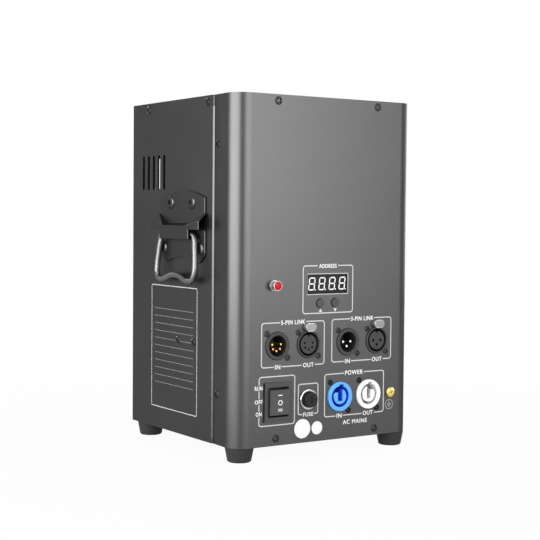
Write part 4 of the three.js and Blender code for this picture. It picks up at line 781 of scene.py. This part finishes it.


# The blue inlet's groove is painted a deeper blue as shade, and the white outlet's groove stays white.
for end, middle, moulding, groove in (
    ("inlet", 13.05, blue_plastic, blue_groove_shade),
    ("outlet", 42.95, white_plastic, white_plastic),
):
    dress(f"power_{end}", moulding, groove)
    repaint(f"power_{end}", groove_shade_round(middle))
    places = [(middle - hole_across, power_row + hole_up), (middle + hole_across, power_row - hole_up)]
    screws(f"power_{end}_screw", power_screw, "front", places, dark_steel)


# Switch: a black housing that snaps into the cover, and a three-place rocker pivoted in it.
# Both are moulded in black with their faces painted paler as painted light, and the rocker has white marks
# printed on it.
rocker_middle = -48.8
rocker_face = 4.505
mark_reach = 2.05
mark_white = finish("mark_white", "#d2d2d0", 0.5, depth=0.01)
bezel_face_light = finish("bezel_face_light", "#333335", 0.44, grain=1200, depth=0.08, Specular_IOR_Level=0.3)
rocker_face_light = finish("rocker_face_light", "#38383a", 0.5, grain=1200, depth=0.08, Specular_IOR_Level=0.3)
# Painted light: the foremost faces of housing and rocker take paler copies of the black.
dress("switch_housing", black_plastic, bezel_face_light, edge=0.4)
repaint("switch_housing", front_of("switch_housing", 0.6))
dress("switch_rocker", black_plastic, rocker_face_light, edge=0.5, segments=3)
repaint("switch_rocker", front_of("switch_rocker", 1.3))


def ring_arcs(across, up, steps):
    """A ring of those two radii, as four arcs of so many steps that meet end to end."""
    turns = [tau * i / (steps * 4) for i in range(steps * 4 + 1)]
    points = [(across * cos(turn), up * sin(turn)) for turn in turns]
    return [points[k * steps:(k + 1) * steps + 1] for k in range(4)]


marks = {
    "rocker_dash": ([[(-mark_reach, 0), (mark_reach, 0)]], 0.68, 53.25),
    "rocker_ring": (ring_arcs(1.8, 1.75, 6), 0.68, 47.3),
    "rocker_bars": ([[(-mark_reach, y), (mark_reach, y)] for y in (-0.65, 0.65)], 0.55, 41.4),
}
for name, (lines, stroke, up) in marks.items():
    mark = plates(name, [ribbon(line, stroke) for line in lines], 0, ink_height)
    mount(name, mark, "front", (rocker_middle, up), rocker_face, mark_white, "rocker")


# Fuse holder: a black moulding through the cover, with a plated ring in front of it.
# A cap with a cross slot carries the glass fuse in, and turns a quarter to come out.
nickel = finish("nickel_plate", "#c9c8c4", 0.16, 1.0, grain=600, mottle=0.03)
cap_black = finish("cap_black", "#121213", 0.5, grain=1400, depth=0.12, Specular_IOR_Level=0.2)
fuse_glass = finish("fuse_glass", "#dfe8ea", 0.05, depth=0.0, Transmission_Weight=0.9)
dress("fuse_holder", black_plastic, nickel, edge=0.2)
repaint("fuse_holder", ahead_of(front_wall - 0.1))
dress("fuse_cap", cap_black, edge=0.2)
dress("glass_fuse", fuse_glass, edge=0.1)


# Earth point: a turned brass screw, whose shallow cross recess is a darker brass cross laid on its head,
# painted shade.
# The usual sign for earth is printed under it: an upright and three shorter and shorter bars in a ring.
cross_reach, cross_width, cross_height = 2.3, 0.7, 0.04
cross_turns = (25, 115)
sign_place = (65.8, 36.9)
sign_radius, sign_stroke = 4.0, 0.45
brass = finish("brass", "#dcc672", 0.3, 1.0, grain=700, depth=0.3, mottle=0.2)
brass_slot_shade = finish("brass_slot_shade", "#8a7330", 0.5, 0.8, grain=700, depth=0.05)
earth_ink = finish("earth_ink", "#9a9a99", 0.5, depth=0.01)
dress("earth_screw", brass, edge=0.2)
low, high = (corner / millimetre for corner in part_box("earth_screw"))
head_middle = ((low.x + high.x) / 2, (low.z + high.z) / 2)
head_proud = front_wall - low.y
arms = []
for turn in cross_turns:
    x, y = cross_reach * cos(radians(turn)), cross_reach * sin(radians(turn))
    arms.append(ribbon([(-x, -y), (x, y)], cross_width))
# Painted shade: the darker cross stands for the shade in the recess.
mount("earth_screw_slot_shade", plates("earth_screw_slot_shade", arms, 0, cross_height), "front", head_middle,
      head_proud + on_the_coat, brass_slot_shade)
strokes = ring_arcs(sign_radius, sign_radius, 8) + [
    [(0, 3.0), (0, 0.2)],
    [(-2.4, 0.2), (2.4, 0.2)],
    [(-1.6, -0.9), (1.6, -0.9)],
    [(-0.8, -2.0), (0.8, -2.0)],
]
sign = plates("earth_sign", [ribbon(stroke, sign_stroke) for stroke in strokes], 0, ink_height)
mount("earth_sign", sign, "front", sign_place, on_the_coat, earth_ink)


# Rear: a sheet frame with a service door, both in the case's coat, through which the can is changed.
# The door hangs on two screwed leaves and a pin, and a slotted knob turns a cam that keeps it shut.
leaf_rows = (52, 88, 124, 160, 196)
frame_leaf_screws, frame_leaf_face = -49.5, 1.3
door_leaf_screws, door_leaf_face = -35.5, 3.1
frame_screw_reach = 60
frame_screw_rows = (287.5, 17.8)
zinc = finish("zinc_plate", "#9a9c9e", 0.35, 0.95, grain=500, depth=0.05)
dress("rear_frame", powder_coat, edge=0.4)
dress("rear_door", powder_coat, edge=0.4)
for leaf in ("hinge_leaf_frame", "hinge_leaf_door"):
    dress(leaf, handle_steel, edge=0.2)
dress("hinge_pin", zinc, edge=0.1)
dress("latch_knob", satin_nickel)
dress("latch_cam", zinc, edge=0.2)
screws("rear_frame_screw", cover_screw, "back",
       [(across, up) for up in frame_screw_rows for across in (-frame_screw_reach, frame_screw_reach)],
       dark_steel)
hinge_screw = screw_mesh("hinge_screw", 2.3, 0.9, 0.7)
screws("hinge_frame_screw", hinge_screw, "back", [(frame_leaf_screws, up) for up in leaf_rows],
       dark_steel, out=frame_leaf_face)
screws("hinge_door_screw", hinge_screw, "back", [(door_leaf_screws, up) for up in leaf_rows],
       dark_steel, out=door_leaf_face, body="door")


# Fire side: a spun stainless bowl screwed into the top, and a brass nozzle through its floor, whose stem
# goes on through a zinc-plated deck into its block. Two white ceramics stand in the bowl's floor, each
# with a spark wire bent in over the nozzle's tip.
ceramic_foot, ceramic_top = 254.9, 281.8
bowl_screw_circle, bowl_screw_count = 49, 6
bowl_rim = 1.5
stainless = finish("stainless_bowl", "#9a9894", 0.36, 1.0, grain=300, depth=0.05, mottle=0.08,
                   Specular_Tint=(0.55, 0.55, 0.55, 1))
ceramic = finish("glazed_ceramic", "#ece9df", 0.2, grain=300, depth=0.03)
dress("flame_bowl", stainless)
dress("flame_nozzle", brass, edge=0.2)
dress("nozzle_block", brass)
dress("burner_deck", zinc)
for side in ("left", "right"):
    dress(f"{side}_electrode", ceramic, zinc, edge=0.15)
    repaint(f"{side}_electrode", lambda spot: spot.z > ceramic_top or spot.z < ceramic_foot)
bowl_screw = screw_mesh("bowl_screw", 2.6, 0.4, 0.3)
turns = [tau * (i + 0.5) / bowl_screw_count for i in range(bowl_screw_count)]
places = [(bowl_screw_circle * cos(turn), bowl_screw_circle * sin(turn)) for turn in turns]
screws("bowl_screw", bowl_screw, "top", places, zinc, out=bowl_rim)


# Inside: the silver gas can in its plated cup, the solenoid with a taped winding that lifts it, the
# spring that returns it, the ignition module, potted in resin, with its red silicone leads, and the
# plated case of the power supply.
can_silver = finish("can_silver", "#c3c6ca", 0.3, 0.7)
winding = finish("taped_winding", "#8f4a26", 0.5, grain=400, depth=0.2)
resin = finish("potting_resin", "#2b2d30", 0.5, depth=0.1)
silicone = finish("red_silicone", "#a8241d", 0.5, depth=0.05)
dress("fuel_can", can_silver)
for part in ("can_cup", "solenoid_yoke", "return_spring", "power_supply"):
    dress(part, zinc, edge=0.2)
dress("solenoid_plunger", nickel, edge=0.2)
dress("solenoid_coil", winding)
dress("ignition_module", resin, edge=0.6)
for lead in ("left_ignition_lead", "right_ignition_lead"):
    dress(lead, silicone, edge=0.1)
